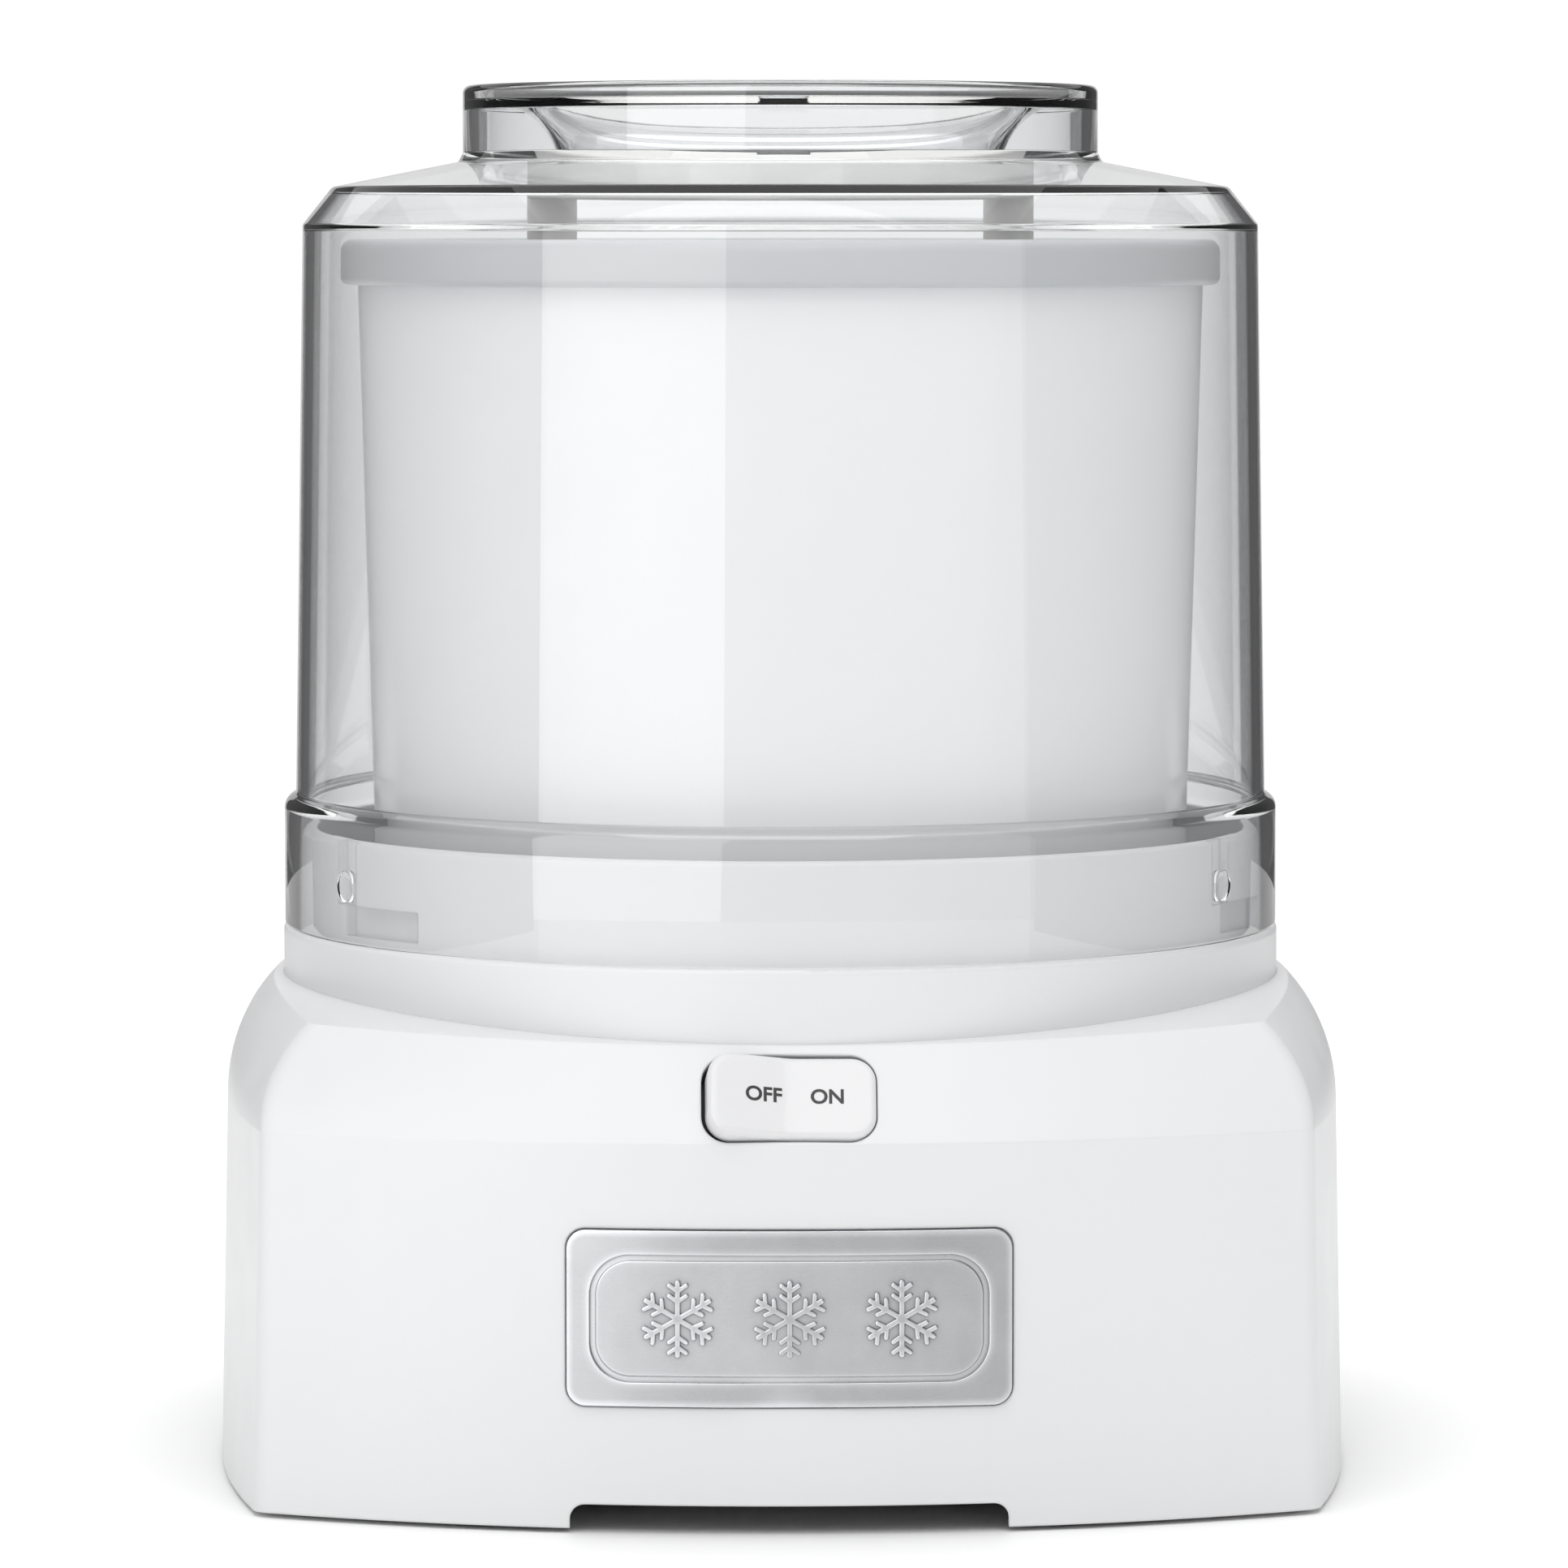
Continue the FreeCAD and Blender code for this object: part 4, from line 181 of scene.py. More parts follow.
# ---------------------------------------------------------------- studio
CAMERA_DISTANCE = 1.543
CAMERA_HEIGHT = 0.256
CAMERA_PITCH = math.radians(4.335)
CAMERA_YAW = math.radians(-0.9)
CAMERA_AIM = math.radians(-0.0285)
CLIP_END = 50.0
LENS_MM = 168.6
SENSOR_MM = 36.0
FILL_STRENGTH = 0.67
BACKDROP_STRENGTH = 1.05
FLOOR_RADIUS = 0.9
FLOOR_SEGMENTS = 128
FLOOR_GLOW = 0.26
GLOW_START = 0.12
GLOW_FULL = 0.3
CARD_SHADE = (0.09, 0.09, 0.093)
SIDE_CARD_X = 0.65
SIDE_CARD_Y = (-0.45, 0.6)
SIDE_CARD_HEIGHT = 0.8
REAR_CARD_INNER = (0.36, 1.2)
REAR_CARD_OUTER = (1.6, 1.0)
REAR_CARD_HEIGHT = 0.7


# ---------------------------------------------------------------- outlines and meshes
def rounded(corners, steps=CORNER_STEPS):
    """(x, y, radius) corners of a closed outline, as points with each corner rounded."""
    points = []
    count = len(corners)
    for index, (x, y, radius) in enumerate(corners):
        here = Vector((x, y))
        before = Vector(corners[index - 1][:2]) - here
        after = Vector(corners[(index + 1) % count][:2]) - here
        turn = before.angle(after, math.pi)
        if radius <= 0 or turn > math.pi - STRAIGHT_TURN:
            points.append(here)
            continue
        reach = min(radius / math.tan(turn / 2), CORNER_SHARE * before.length,
                    CORNER_SHARE * after.length)
        radius = reach * math.tan(turn / 2)
        centre = here + (before.normalized() + after.normalized()).normalized() * (
            radius / math.sin(turn / 2))
        start = here + before.normalized() * reach - centre
        sweep = start.angle_signed(here + after.normalized() * reach - centre)
        for step in range(steps + 1):
            spot = start.copy()
            spot.rotate(Matrix.Rotation(-sweep * step / steps, 2))
            points.append(centre + spot)
    return points


def new_object(name, mesh):
    piece = bpy.data.objects.new(name, mesh)
    bpy.context.scene.collection.objects.link(piece)
    return piece


def smooth(piece):
    """Smooth shading, with the sharp edges kept."""
    for face in piece.data.polygons:
        face.use_smooth = True
    piece.data.set_sharp_from_angle(angle=SHARP_ANGLE)
    return piece


def mesh_object(name, points, faces):
    mesh = bpy.data.meshes.new(name)
    mesh.from_pydata([tuple(point) for point in points], [], faces)
    shape = bmesh.new()
    shape.from_mesh(mesh)
    bmesh.ops.remove_doubles(shape, verts=shape.verts, dist=MERGE_DISTANCE)
    bmesh.ops.dissolve_degenerate(shape, edges=shape.edges, dist=SHORTEST_EDGE)
    bmesh.ops.recalc_face_normals(shape, faces=shape.faces)
    shape.to_mesh(mesh)
    shape.free()
    return smooth(new_object(name, mesh))


def lathe(name, corners, segments=LATHE_SEGMENTS):
    """A closed (radius, z) outline turned about the Z axis."""
    outline = rounded(corners)
    count = len(outline)
    points = []
    for segment in range(segments):
        angle = 2 * math.pi * segment / segments
        cosine, sine = math.cos(angle), math.sin(angle)
        points += [(radius * cosine, radius * sine, z) for radius, z in outline]
    faces = []
    for segment in range(segments):
        here, there = segment * count, (segment + 1) % segments * count
        for index in range(count):
            after = (index + 1) % count
            faces.append((here + index, there + index, there + after, here + after))
    return mesh_object(name, points, faces)


def unite(piece, tools):
    """Each tool joined to the piece's mesh. The tools are used up."""
    for tool in tools:
        change = piece.modifiers.new("unite", "BOOLEAN")
        change.operation = "UNION"
        change.solver = "EXACT"
        change.object = tool
        bpy.context.view_layer.update()
        graph = bpy.context.evaluated_depsgraph_get()
        result = bpy.data.meshes.new_from_object(piece.evaluated_get(graph))
        piece.modifiers.clear()
        old, piece.data = piece.data, result
        bpy.data.meshes.remove(old)
        bpy.data.objects.remove(tool)
    return smooth(piece)


# ---------------------------------------------------------------- materials
class Finish:
    """A Principled material whose colour, gloss and surface vary gently over the piece."""

    def __init__(self, name, colour, roughness, metallic=0.0):
        self.name = name
        self.material = bpy.data.materials.new(name)
        self.material.use_nodes = True
        self.nodes = self.material.node_tree.nodes
        self.shader = self.nodes["Principled BSDF"]
        self.colour, self.roughness = colour, roughness
        self.set("Metallic", metallic)
        self.place = self.nodes.new("ShaderNodeTexCoord").outputs["Object"]
        self.normal = None

    def set(self, socket, value):
        self.shader.inputs[socket].default_value = value
        return self

    def link(self, out, into):
        self.material.node_tree.links.new(out, into)

    def stretched(self, stretch):
        mapping = self.nodes.new("ShaderNodeMapping")
        mapping.inputs["Scale"].default_value = stretch
        self.link(self.place, mapping.inputs["Vector"])
        return mapping.outputs["Vector"]

    def noise(self, scale, detail=3.0, stretch=(1, 1, 1)):
        texture = self.nodes.new("ShaderNodeTexNoise")
        texture.inputs["Scale"].default_value = scale
        texture.inputs["Detail"].default_value = detail
        self.link(self.stretched(stretch), texture.inputs["Vector"])
        return texture.outputs["Fac"]

    def bands(self, scale, direction="Z", distortion=0.0):
        texture = self.nodes.new("ShaderNodeTexWave")
        texture.bands_direction = direction
        texture.inputs["Scale"].default_value = scale
        texture.inputs["Distortion"].default_value = distortion
        self.link(self.place, texture.inputs["Vector"])
        return texture.outputs["Fac"]

    def tint(self, pattern, depth):
        """The colour runs from a shade darker by depth up to the full colour."""
        ramp = self.nodes.new("ShaderNodeValToRGB")
        ramp.color_ramp.elements[0].position = TINT_START
        ramp.color_ramp.elements[1].position = TINT_END
        ramp.color_ramp.elements[0].color = [c * (1 - depth) for c in self.colour] + [1]
        ramp.color_ramp.elements[1].color = list(self.colour) + [1]
        self.link(pattern, ramp.inputs["Fac"])
        self.link(ramp.outputs["Color"], self.shader.inputs["Base Color"])
        return self

    def gloss(self, pattern, spread):
        span = self.nodes.new("ShaderNodeMapRange")
        span.inputs["To Min"].default_value = max(0.0, self.roughness - spread)
        span.inputs["To Max"].default_value = self.roughness + spread
        self.link(pattern, span.inputs["Value"])
        self.link(span.outputs["Result"], self.shader.inputs["Roughness"])
        return self

    def relief(self, pattern, strength, height):
        bump = self.nodes.new("ShaderNodeBump")
        bump.inputs["Strength"].default_value = strength
        bump.inputs["Distance"].default_value = height
        self.link(pattern, bump.inputs["Height"])
        if self.normal:
            self.link(self.normal, bump.inputs["Normal"])
        self.normal = bump.outputs["Normal"]
        self.link(self.normal, self.shader.inputs["Normal"])
        return self

    def painted_shade_and_highlight(self, reach, dark, bright):
        """Painted shade and painted highlight: the colour times dark in hollows within reach,
        where shade falls, and times bright on raised edges.
        """
        colour = self.shader.inputs["Base Color"].links[0].from_socket
        # ambient occlusion paints shade (dark) into hollows, then a painted highlight (bright)
        # onto raised edges
        for inside, factor in ((False, dark), (True, bright)):
            hidden = self.nodes.new("ShaderNodeAmbientOcclusion")
            hidden.samples = NEARBY_SAMPLES
            hidden.inside = inside
            hidden.only_local = True
            hidden.inputs["Distance"].default_value = reach
            span = self.nodes.new("ShaderNodeMapRange")
            span.inputs["From Min"].default_value = PAINTED_LIGHT_FROM
            span.inputs["To Min"].default_value = factor
            self.link(hidden.outputs["AO"], span.inputs["Value"])
            scale = self.nodes.new("ShaderNodeVectorMath")
            scale.operation = "SCALE"
            self.link(colour, scale.inputs[0])
            self.link(span.outputs["Result"], scale.inputs["Scale"])
            colour = scale.outputs["Vector"]
        self.link(colour, self.shader.inputs["Base Color"])
        return self

    def soft_edges(self, radius):
        """Edges catch the light as if they were rounded by radius."""
        edge = self.nodes.new("ShaderNodeBevel")
        edge.samples = NEARBY_SAMPLES
        edge.inputs["Radius"].default_value = radius
        if self.normal:
            self.link(self.normal, edge.inputs["Normal"])
        self.normal = edge.outputs["Normal"]
        self.link(self.normal, self.shader.inputs["Normal"])
        return self


def moulded(name, colour, roughness, grain=0.12, edge=0.0004, depth=0.02):
    """Moulded plastic: faint clouding, uneven gloss, a fine skin and softened edges."""
    finish = Finish(name, colour, roughness)
    finish.tint(finish.noise(CLOUD_SCALE), depth)
    finish.gloss(finish.noise(UNEVEN_SCALE), roughness * 0.25)
    finish.relief(finish.noise(SKIN_SCALE, 2.0), grain, SKIN_HEIGHT)
    return finish.soft_edges(edge)


def metal(name, colour, roughness, stretch=(1, 1, 1), edge=0.0003, depth=0.12):
    """Worked metal: fine lines along the piece, uneven gloss and softened edges."""
    finish = Finish(name, colour, roughness, metallic=1.0)
    finish.tint(finish.noise(METAL_CLOUD_SCALE), depth)
    finish.gloss(finish.noise(METAL_UNEVEN_SCALE, 4.0, stretch), roughness * 0.3)
    lines = finish.noise(METAL_LINE_SCALE, 2.0, stretch)
    finish.relief(lines, METAL_LINE_STRENGTH, SKIN_HEIGHT)
    return finish.soft_edges(edge)


def laminated(name):
    """Pressed steel sheets in a stack, 0.5 mm each, with a dull oxide."""
    finish = Finish(name, (0.33, 0.34, 0.36), 0.45, metallic=0.9)
    finish.tint(finish.bands(SHEET_SCALE), 0.45)
    finish.gloss(finish.noise(120.0), 0.1)
    return finish.relief(finish.bands(SHEET_SCALE), 0.5, SHEET_RELIEF)


def wound(name):
    """Rows of enamelled copper wire."""
    finish = Finish(name, (0.62, 0.24, 0.09), 0.28, metallic=0.85)
    finish.tint(finish.bands(WIRE_SCALE, "Y", WIRE_WANDER), 0.5)
    finish.gloss(finish.noise(200.0), 0.08)
    return finish.relief(finish.bands(WIRE_SCALE, "Y", WIRE_WANDER), 0.8, WIRE_RELIEF)


def clear(name):
    """Clear moulded plastic, which lets soft light straight through to what is inside."""
    finish = Finish(name, (0.9, 0.905, 0.91), 0.02)
    finish.set("Transmission Weight", 1.0).set("IOR", CLEAR_IOR)
    finish.set("Base Color", (*finish.colour, 1))
    finish.gloss(finish.noise(CLEAR_UNEVEN_SCALE), 0.012)
    path = finish.nodes.new("ShaderNodeLightPath")
    either = finish.nodes.new("ShaderNodeMath")
    either.operation = "MAXIMUM"
    finish.link(path.outputs["Is Shadow Ray"], either.inputs[0])
    finish.link(path.outputs["Is Diffuse Ray"], either.inputs[1])
    mix = finish.nodes.new("ShaderNodeMixShader")
    finish.link(either.outputs[0], mix.inputs["Fac"])
    finish.link(finish.shader.outputs[0], mix.inputs[1])
    finish.link(finish.nodes.new("ShaderNodeBsdfTransparent").outputs[0], mix.inputs[2])
    finish.link(mix.outputs[0], finish.nodes["Material Output"].inputs["Surface"])
    return finish


FINISHES = {finish.name: finish for finish in (
    moulded("housing_white", (0.735, 0.74, 0.747), 0.37, grain=0.05, edge=0.0008),
    moulded("cover_white", (0.78, 0.78, 0.78), 0.55, grain=0.4),
    moulded("rocker_white", (0.72, 0.72, 0.73), 0.2, grain=0.06),
    # the badge gets painted shade in its hollows and a painted highlight on its raised edges
    metal("badge_metal", (0.42, 0.425, 0.435), 0.3, (1, 1, 14), edge=0.0004).painted_shade_and_highlight(
        reach=0.0016, dark=0.35, bright=1.7),
    clear("clear_lid"),
    moulded("bowl_white", (0.84, 0.855, 0.865), 0.21),
    metal("bowl_liner", (0.72, 0.73, 0.74), 0.28, (1, 1, 10)),
    moulded("coolant", (0.55, 0.68, 0.78), 0.35, depth=0.2),
    moulded("rim_grey", (0.54, 0.555, 0.565), 0.34, grain=0.2),
    moulded("paddle_white", (0.82, 0.82, 0.80), 0.37, edge=0.0008),
    moulded("rubber", (0.035, 0.035, 0.037), 0.7, grain=0.6, depth=0.3),
    metal("steel", (0.58, 0.58, 0.60), 0.25),
    metal("zinc", (0.66, 0.67, 0.69), 0.3),
    laminated("lamination_steel"),
    wound("copper"),
    metal("brass_tab", (0.72, 0.55, 0.26), 0.26),
    metal("bronze", (0.50, 0.34, 0.20), 0.42, depth=0.25),
    moulded("gear_nylon", (0.80, 0.78, 0.70), 0.45, grain=0.3, depth=0.06),
    moulded("case_grey", (0.32, 0.33, 0.35), 0.5, grain=0.5, depth=0.1),
    moulded("switch_black", (0.03, 0.03, 0.032), 0.42, grain=0.3, depth=0.2),
    moulded("bobbin_plastic", (0.12, 0.14, 0.16), 0.45, depth=0.15),
    moulded("lead_insulation", (0.10, 0.20, 0.42), 0.4, depth=0.12),
)}


def paint(piece, slot):
    piece.data.materials.clear()
    piece.data.materials.append(FINISHES[slot].material)


def add_piece(piece, slot, body, *nodes):
    """Give a piece its finish, body and the CAD nodes that it stands for."""
    paint(piece, slot)
    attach(piece, body)
    if nodes:
        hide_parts(*nodes)
    return piece


for part in frame["record"]["subparts"]:
    node = frame["nodes"][part["node"]]
    for holder in node.material_slots:
        holder.material = FINISHES[part["material_slot"]].material


# ---------------------------------------------------------------- lid
def funnel_curve(start, middle, end):
    """Points along the circle arc through three (radius, z) points."""
    a, b, c = (Vector(point) for point in (start, middle, end))
    twice = 2 * (a.x * (b.y - c.y) + b.x * (c.y - a.y) + c.x * (a.y - b.y))
    squares = [point.length_squared for point in (a, b, c)]
    centre = Vector((
        (squares[0] * (b.y - c.y) + squares[1] * (c.y - a.y) + squares[2] * (a.y - b.y)) / twice,
        (squares[0] * (c.x - b.x) + squares[1] * (a.x - c.x) + squares[2] * (b.x - a.x)) / twice))
    first = math.atan2(a.y - centre.y, a.x - centre.x)
    last = math.atan2(c.y - centre.y, c.x - centre.x)
    sweep = (last - first + math.pi) % (2 * math.pi) - math.pi
    reach = (a - centre).length
    return [(centre.x + reach * math.cos(first + sweep * step / FUNNEL_STEPS),
             centre.y + reach * math.sin(first + sweep * step / FUNNEL_STEPS), 0)
            for step in range(FUNNEL_STEPS + 1)]


def key(side):
    """One of the funnel's two keys: a short piece of its wall carried down."""
    inner, outer = FUNNEL_RADIUS + KEY_INSET, FUNNEL_RADIUS + FUNNEL_WALL - KEY_INSET
    half = math.asin(KEY_HALF_WIDTH / outer)
    low, high = FUNNEL_FOOT_Z - KEY_LENGTH, FUNNEL_FOOT_Z + KEY_LAP
    points, faces = [], []
    for step in range(KEY_STEPS + 1):
        angle = side * math.pi / 2 + half * (2 * step / KEY_STEPS - 1)
        for radius, z in ((inner, low), (outer, low), (outer, high), (inner, high)):
            points.append((radius * math.cos(angle), radius * math.sin(angle), z))
    for step in range(KEY_STEPS):
        at = 4 * step
        faces += [(at + i, at + (i + 1) % 4, at + 4 + (i + 1) % 4, at + 4 + i) for i in range(4)]
    faces += [(0, 3, 2, 1), tuple(4 * KEY_STEPS + i for i in range(4))]
    return mesh_object("key", points, faces)


def nub(angle):
    """A round nub inside the collar, with its end rounded over."""
    tip = COLLAR_RADIUS - COLLAR_WALL - NUB_REACH
    root = tip + NUB_REACH + NUB_ROOT
    piece = lathe("nub", [(0, 0, 0), (NUB_RADIUS, 0, NUB_ROUND), (NUB_RADIUS, root - tip, 0),
                          (0, root - tip, 0)], NUB_SEGMENTS)
    turn = Matrix.Rotation(math.radians(angle), 4, "Z")
    lay = Matrix.Rotation(math.pi / 2, 4, "Y")
    piece.data.transform(turn @ Matrix.Translation((tip, 0, NUB_Z)) @ lay)
    return piece


def funnel():
    """The funnel's upper face from its mouth down, then its lower face back up."""
    throat = SPOUT_RADIUS - SPOUT_WALL
    mouth = throat + FUNNEL_LIP
    under = FUNNEL_MOUTH_Z - FUNNEL_WALL
    outer = FUNNEL_RADIUS + FUNNEL_WALL
    upper = funnel_curve(
        (mouth, FUNNEL_MOUTH_Z),
        (FUNNEL_RADIUS + FUNNEL_UPPER_SPREAD, FUNNEL_MOUTH_Z - FUNNEL_SAG),
        (FUNNEL_RADIUS, FUNNEL_FOOT_Z))
    lower = funnel_curve(
        (outer, FUNNEL_FOOT_Z),
        (outer + FUNNEL_LOWER_SPREAD, under - FUNNEL_SAG),
        (mouth, under))
    upper[0] = (throat, upper[0][1], LID_EDGE_ROUND)
    lower[-1] = (throat, lower[-1][1], LID_EDGE_ROUND)
    return upper + lower


def build_lid():
    inner = COLLAR_RADIUS - COLLAR_WALL
    throat = SPOUT_RADIUS - SPOUT_WALL
    outside = [
        (inner, LID_FOOT_Z, LID_EDGE_ROUND),
        (COLLAR_RADIUS, LID_FOOT_Z, LID_FOOT_ROUND),
        (COLLAR_RADIUS, COLLAR_TOP_Z - COLLAR_SHOULDER, COLLAR_ROUND),
        (WALL_FOOT_RADIUS, COLLAR_TOP_Z, WALL_FOOT_ROUND),
        (CHAMFER_RADIUS, CHAMFER_Z, BEND_ROUND),
        (SLOPE_RADIUS, SLOPE_Z, SLOPE_ROUND),
        (SPOUT_RADIUS + SPOUT_FOOT_REACH, SPOUT_FOOT_Z - SPOUT_FOOT_REACH, SPOUT_FOOT_ROUND),
        (SPOUT_RADIUS, SPOUT_FOOT_Z + SPOUT_FOOT_REACH, SPOUT_FOOT_ROUND),
        (SPOUT_RADIUS, LID_TOP_Z, SPOUT_LIP_ROUND),
        (throat, LID_TOP_Z, SPOUT_MOUTH_ROUND),
    ]
    inside = [
        (throat, SPOUT_FOOT_Z - LID_WALL, INSIDE_ROUND),
        (SLOPE_RADIUS - INSIDE_STEP, SLOPE_Z - LID_WALL, SLOPE_ROUND),
        (CHAMFER_RADIUS - LID_WALL, CHAMFER_Z - CHAMFER_INSIDE_DROP, BEND_ROUND),
        (WALL_FOOT_RADIUS - LID_WALL, COLLAR_TOP_Z - INSIDE_STEP, INSIDE_ROUND),
        (inner, COLLAR_TOP_Z - COLLAR_CEILING, INSIDE_ROUND),
    ]
    shell = lathe("clear_lid", outside + funnel() + inside)
    tools = [key(-1), key(1)] + [nub(angle) for angle in NUB_ANGLES]
    add_piece(unite(shell, tools), "clear_lid", "lid", "lid", "lid_spout")


# ---------------------------------------------------------------- freezer bowl
def build_shell():
    """The bowl's outer wall, with a raised round seat for its drive plate."""
    wall_foot_z = SHELL_FOOT_Z + SHELL_WALL
    shell = lathe("bowl_outer", [
        (0, PLATE_SEAT_Z, 0),
        (PLATE_SEAT_RADIUS, PLATE_SEAT_Z, 0),
        (PLATE_SEAT_RADIUS, SHELL_FOOT_Z, PLATE_SEAT_ROUND),
        (SHELL_FOOT_RADIUS, SHELL_FOOT_Z, SHELL_FOOT_ROUND),
        (SHELL_TOP_RADIUS, SHELL_TOP_Z, 0),
        (SHELL_TOP_RADIUS - SHELL_WALL, SHELL_TOP_Z, 0),
        (SHELL_FOOT_RADIUS - SHELL_WALL, wall_foot_z, SHELL_INSIDE_ROUND),
        (PLATE_SEAT_RADIUS + SHELL_WALL, wall_foot_z, 0),
        (PLATE_SEAT_RADIUS + SHELL_WALL, PLATE_SEAT_Z + SHELL_WALL, PLATE_SEAT_INSIDE_ROUND),
        (0, PLATE_SEAT_Z + SHELL_WALL, 0),
    ])
    add_piece(shell, "bowl_white", "bowl", "bowl_shell")


def build_rim():
    """The grey ring that clips over the top of the shell."""
    share = (RIM_FOOT_Z - SHELL_FOOT_Z) / (SHELL_TOP_Z - SHELL_FOOT_Z)
    fit = SHELL_FOOT_RADIUS + share * (SHELL_TOP_RADIUS - SHELL_FOOT_RADIUS) + RIM_FIT
    rim = lathe("bowl_ring", [
        (fit, RIM_FOOT_Z, RIM_FOOT_ROUND),
        (RIM_RADIUS, RIM_FOOT_Z, RIM_UNDER_ROUND),
        (RIM_RADIUS, RIM_TOP_Z, RIM_TOP_ROUND),
        (LINER_TOP_RADIUS, RIM_TOP_Z, RIM_INNER_ROUND),
        (LINER_TOP_RADIUS, SHELL_TOP_Z + RIM_LEDGE, 0),
        (SHELL_TOP_RADIUS + RIM_FIT, SHELL_TOP_Z + RIM_LEDGE, 0),
        (SHELL_TOP_RADIUS + RIM_FIT, SHELL_TOP_Z, 0),
    ])
    add_piece(rim, "rim_grey", "bowl", "bowl_rim")


# ---------------------------------------------------------------- switch
def band_matrix():
    """The switch's own frame: X to the right, Y up the sloped band, Z straight out of it."""
    middle_z = (BREAK_Z + DECK_EDGE_Z) / 2
    face_y = -(HALF_DEPTH - WALL_DRAFT - BAND_SLOPE * (middle_z - BREAK_Z))
    tilt = math.atan(BAND_SLOPE)
    sine, cosine = math.sin(tilt), math.cos(tilt)
    return Matrix(((1, 0, 0, 0), (0, sine, -cosine, face_y),
                   (0, cosine, sine, middle_z), (0, 0, 0, 1)))


def rocker_matrix():
    """The switch's frame, tipped about the rocker's pivot."""
    pivot = Matrix.Translation((0, 0, -PIVOT_DEPTH))
    return band_matrix() @ pivot @ Matrix.Rotation(ROCKER_TILT, 4, "Y") @ pivot.inverted()


def rocker_top(x):
    """Height of the V-shaped top above the band, with the crease a little softened."""
    slope = ROCKER_CREASE / (ROCKER_WIDTH / 2)
    rise = math.hypot(x, CREASE_SOFTNESS) - CREASE_SOFTNESS
    return ROCKER_PROUD - ROCKER_CREASE + slope * rise


def rounded_rectangle(half_width, half_height, radius):
    """A rectangle with round corners, its long sides cut into parts."""
    corners = [(half_width, -half_height, radius), (half_width, half_height, radius),
               (-half_width, half_height, radius), (-half_width, -half_height, radius)]
    points = []
    outline = rounded(corners, RECTANGLE_CORNER_STEPS)
    for start, end in zip(outline, outline[1:] + outline[:1]):
        is_side = (end - start).length > LONG_SIDE_SHARE * half_height
        parts = SIDE_PARTS if is_side else 1
        points += [start.lerp(end, part / parts) for part in range(parts)]
    return points


def rocker_levels():
    """(inset, drop) of each ring from the skirt over the rounded edge to the top's spine."""
    levels = []
    for step in range(ROCKER_EDGE_STEPS + 1):
        turn = math.pi / 2 * step / ROCKER_EDGE_STEPS
        levels.append((ROCKER_EDGE * (1 - math.cos(turn)), ROCKER_EDGE * (1 - math.sin(turn))))
    width = ROCKER_LENGTH / 2 - ROCKER_SPINE - ROCKER_EDGE
    for step in range(1, ROCKER_TOP_STEPS + 1):
        levels.append((ROCKER_EDGE + width * step / ROCKER_TOP_STEPS, 0.0))
    return levels


def rocker_ring(inset):
    corner = max(ROCKER_CORNER - inset, ROCKER_LEAST_CORNER)
    return rounded_rectangle(ROCKER_WIDTH / 2 - inset, ROCKER_LENGTH / 2 - inset, corner)


def build_rocker():
    rings = [[(x, y, -ROCKER_SKIRT) for x, y in rocker_ring(0.0)]]
    for inset, drop in rocker_levels():
        rings.append([(x, y, rocker_top(x) - drop) for x, y in rocker_ring(inset)])
    rings.append([(x, 0, rocker_top(x)) for x, _, _ in rings[-1]])
    count = len(rings[0])
    points = [point for ring in rings for point in ring]
    faces = []
    for level in range(len(rings) - 1):
        for index in range(count):
            after = (index + 1) % count
            faces.append((level * count + index, level * count + after,
                          (level + 1) * count + after, (level + 1) * count + index))
    faces.append(tuple(reversed(range(count))))
    button = mesh_object("rocker_button", points, faces)
    button.data.transform(rocker_matrix())
    add_piece(button, "rocker_white", "switch_rocker", "rocker")


def label(words, centre_x):
    """A printed word that lies on one slope of the rocker."""
    curve = bpy.data.curves.new(words, "FONT")
    curve.body = words
    curve.size = LABEL_HEIGHT
    curve.offset = LABEL_WEIGHT
    curve.align_x, curve.align_y = "CENTER", "CENTER"
    curve.extrude = LABEL_THICKNESS
    letters = bpy.data.objects.new(words, curve)
    bpy.context.scene.collection.objects.link(letters)
    bpy.context.view_layer.update()
    graph = bpy.context.evaluated_depsgraph_get()
    mesh = bpy.data.meshes.new_from_object(letters.evaluated_get(graph))
    bpy.data.objects.remove(letters)
    for vertex in mesh.vertices:
        x = vertex.co.x + centre_x
        vertex.co = (x, vertex.co.y, rocker_top(x) + LABEL_LIFT + vertex.co.z)
    mesh.transform(rocker_matrix())
    add_piece(new_object("switch_word_" + words.lower(), mesh), "switch_black", "switch_rocker")


# ---------------------------------------------------------------- studio
def build_camera():
    camera = bpy.data.objects.new("camera", bpy.data.cameras.new("camera"))
    bpy.context.scene.collection.objects.link(camera)
    camera.data.lens = LENS_MM
    camera.data.sensor_width = SENSOR_MM
    camera.data.clip_end = CLIP_END
    camera.location = (CAMERA_DISTANCE * math.sin(CAMERA_YAW),
                       -CAMERA_DISTANCE * math.cos(CAMERA_YAW), CAMERA_HEIGHT)
    camera.rotation_euler = (math.pi / 2 - CAMERA_PITCH, 0, CAMERA_YAW + CAMERA_AIM)
    bpy.context.scene.camera = camera


def softbox(name, place, aim, width, height, power):
    light = bpy.data.lights.new(name, "AREA")
    light.shape = "RECTANGLE"
    light.size, light.size_y, light.energy = width, height, power
    lamp = bpy.data.objects.new(name, light)
    bpy.context.scene.collection.objects.link(lamp)
    lamp.location = place
    lamp.rotation_euler = (Vector(aim) - Vector(place)).to_track_quat("-Z", "Y").to_euler()
    return lamp


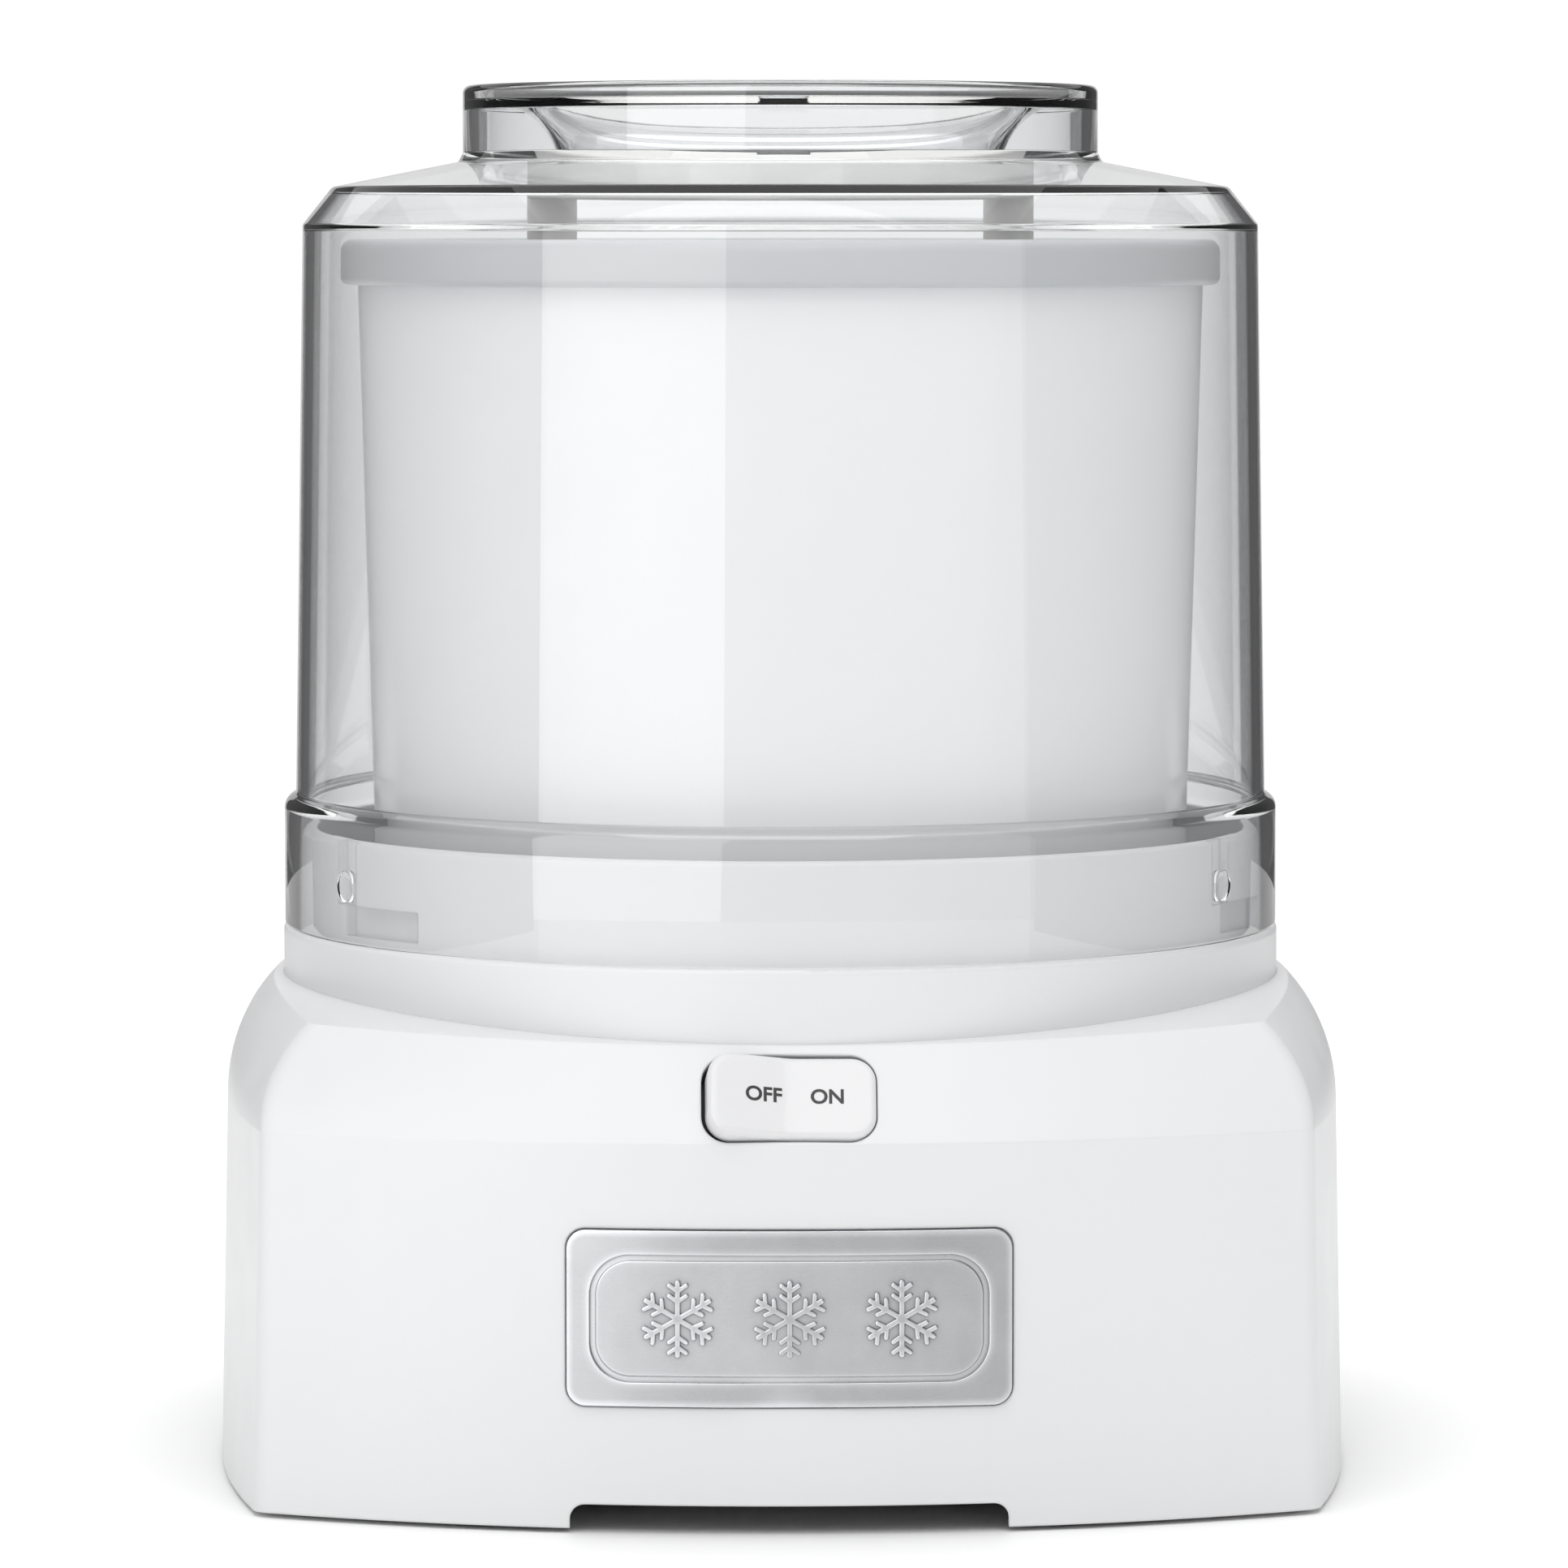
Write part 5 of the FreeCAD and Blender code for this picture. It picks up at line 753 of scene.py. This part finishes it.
def card(name, start, end, height):
    """A dark card standing on the line from start to end, seen only in gloss and clear edges."""
    mesh = bpy.data.meshes.new(name)
    mesh.from_pydata([(*start, 0), (*end, 0), (*end, height), (*start, height)], [],
                     [(0, 1, 2, 3)])
    piece = new_object(name, mesh)
    finish = Finish(name, CARD_SHADE, 0.9)
    finish.tint(finish.noise(6.0), 0.05)
    mesh.materials.append(finish.material)
    piece.visible_camera = False
    piece.visible_diffuse = False
    piece.visible_shadow = False


def build_backdrop():
    """Plain white all round, a little brighter where it is seen than where it lights."""
    world = bpy.context.scene.world or bpy.data.worlds.new("studio")
    bpy.context.scene.world = world
    world.use_nodes = True
    nodes, links = world.node_tree.nodes, world.node_tree.links
    background = nodes["Background"]
    background.inputs["Color"].default_value = (1, 1, 1, 1)
    path = nodes.new("ShaderNodeLightPath")
    seen = nodes.new("ShaderNodeMath")
    seen.operation = "MAXIMUM"
    links.new(path.outputs["Is Camera Ray"], seen.inputs[0])
    links.new(path.outputs["Is Transmission Ray"], seen.inputs[1])
    strength = nodes.new("ShaderNodeMapRange")
    strength.inputs["To Min"].default_value = FILL_STRENGTH
    strength.inputs["To Max"].default_value = BACKDROP_STRENGTH
    links.new(seen.outputs[0], strength.inputs["Value"])
    links.new(strength.outputs["Result"], background.inputs["Strength"])


def glow_away_from_object(finish):
    """The floor brightens outwards into the backdrop, so that no far edge shows."""
    finish.set("Emission Color", (1, 1, 1, 1))
    far = finish.nodes.new("ShaderNodeVectorMath")
    far.operation = "LENGTH"
    finish.link(finish.place, far.inputs[0])
    glow = finish.nodes.new("ShaderNodeMapRange")
    glow.inputs["From Min"].default_value = GLOW_START
    glow.inputs["From Max"].default_value = GLOW_FULL
    glow.inputs["To Max"].default_value = FLOOR_GLOW
    finish.link(far.outputs["Value"], glow.inputs["Value"])
    finish.link(glow.outputs["Result"], finish.shader.inputs["Emission Strength"])


def build_floor():
    shape = bmesh.new()
    bmesh.ops.create_circle(shape, cap_ends=True, segments=FLOOR_SEGMENTS, radius=FLOOR_RADIUS)
    mesh = bpy.data.meshes.new("floor")
    shape.to_mesh(mesh)
    shape.free()
    floor = new_object("floor", mesh)
    finish = Finish("floor", (0.97, 0.97, 0.97), 0.7)
    finish.tint(finish.noise(3.0), 0.01)
    finish.relief(finish.noise(400.0), 0.05, 0.0001)
    glow_away_from_object(finish)
    mesh.materials.append(finish.material)


def build_cards():
    front_y, back_y = SIDE_CARD_Y
    for side, words in ((-1, "left"), (1, "right")):
        card(words + "_side_card", (side * SIDE_CARD_X, front_y), (side * SIDE_CARD_X, back_y),
             SIDE_CARD_HEIGHT)
        card(words + "_rear_card", (side * REAR_CARD_INNER[0], REAR_CARD_INNER[1]),
             (side * REAR_CARD_OUTER[0], REAR_CARD_OUTER[1]), REAR_CARD_HEIGHT)


def build_lights():
    softbox("key_light", (-0.1, -0.9, 1.3), (0, 0, 0.1), 1.4, 1.0, 8.0)
    softbox("top_light", (0, 0.3, 1.6), (0, 0, 0.1), 2.0, 2.0, 12.0)
    glint = softbox("left_glint", (-1.13, -0.82, 0.3), (0, 0, 0.2), 2.4, 1.9, 28.0)
    glint.visible_diffuse = False
    glint.visible_transmission = False


build_camera()
build_lid()
build_shell()
build_rim()
build_rocker()
label("OFF", OFF_CENTRE_X)
label("ON", ON_CENTRE_X)
build_backdrop()
build_floor()
build_cards()
build_lights()
bpy.context.scene.view_settings.view_transform = "Standard"
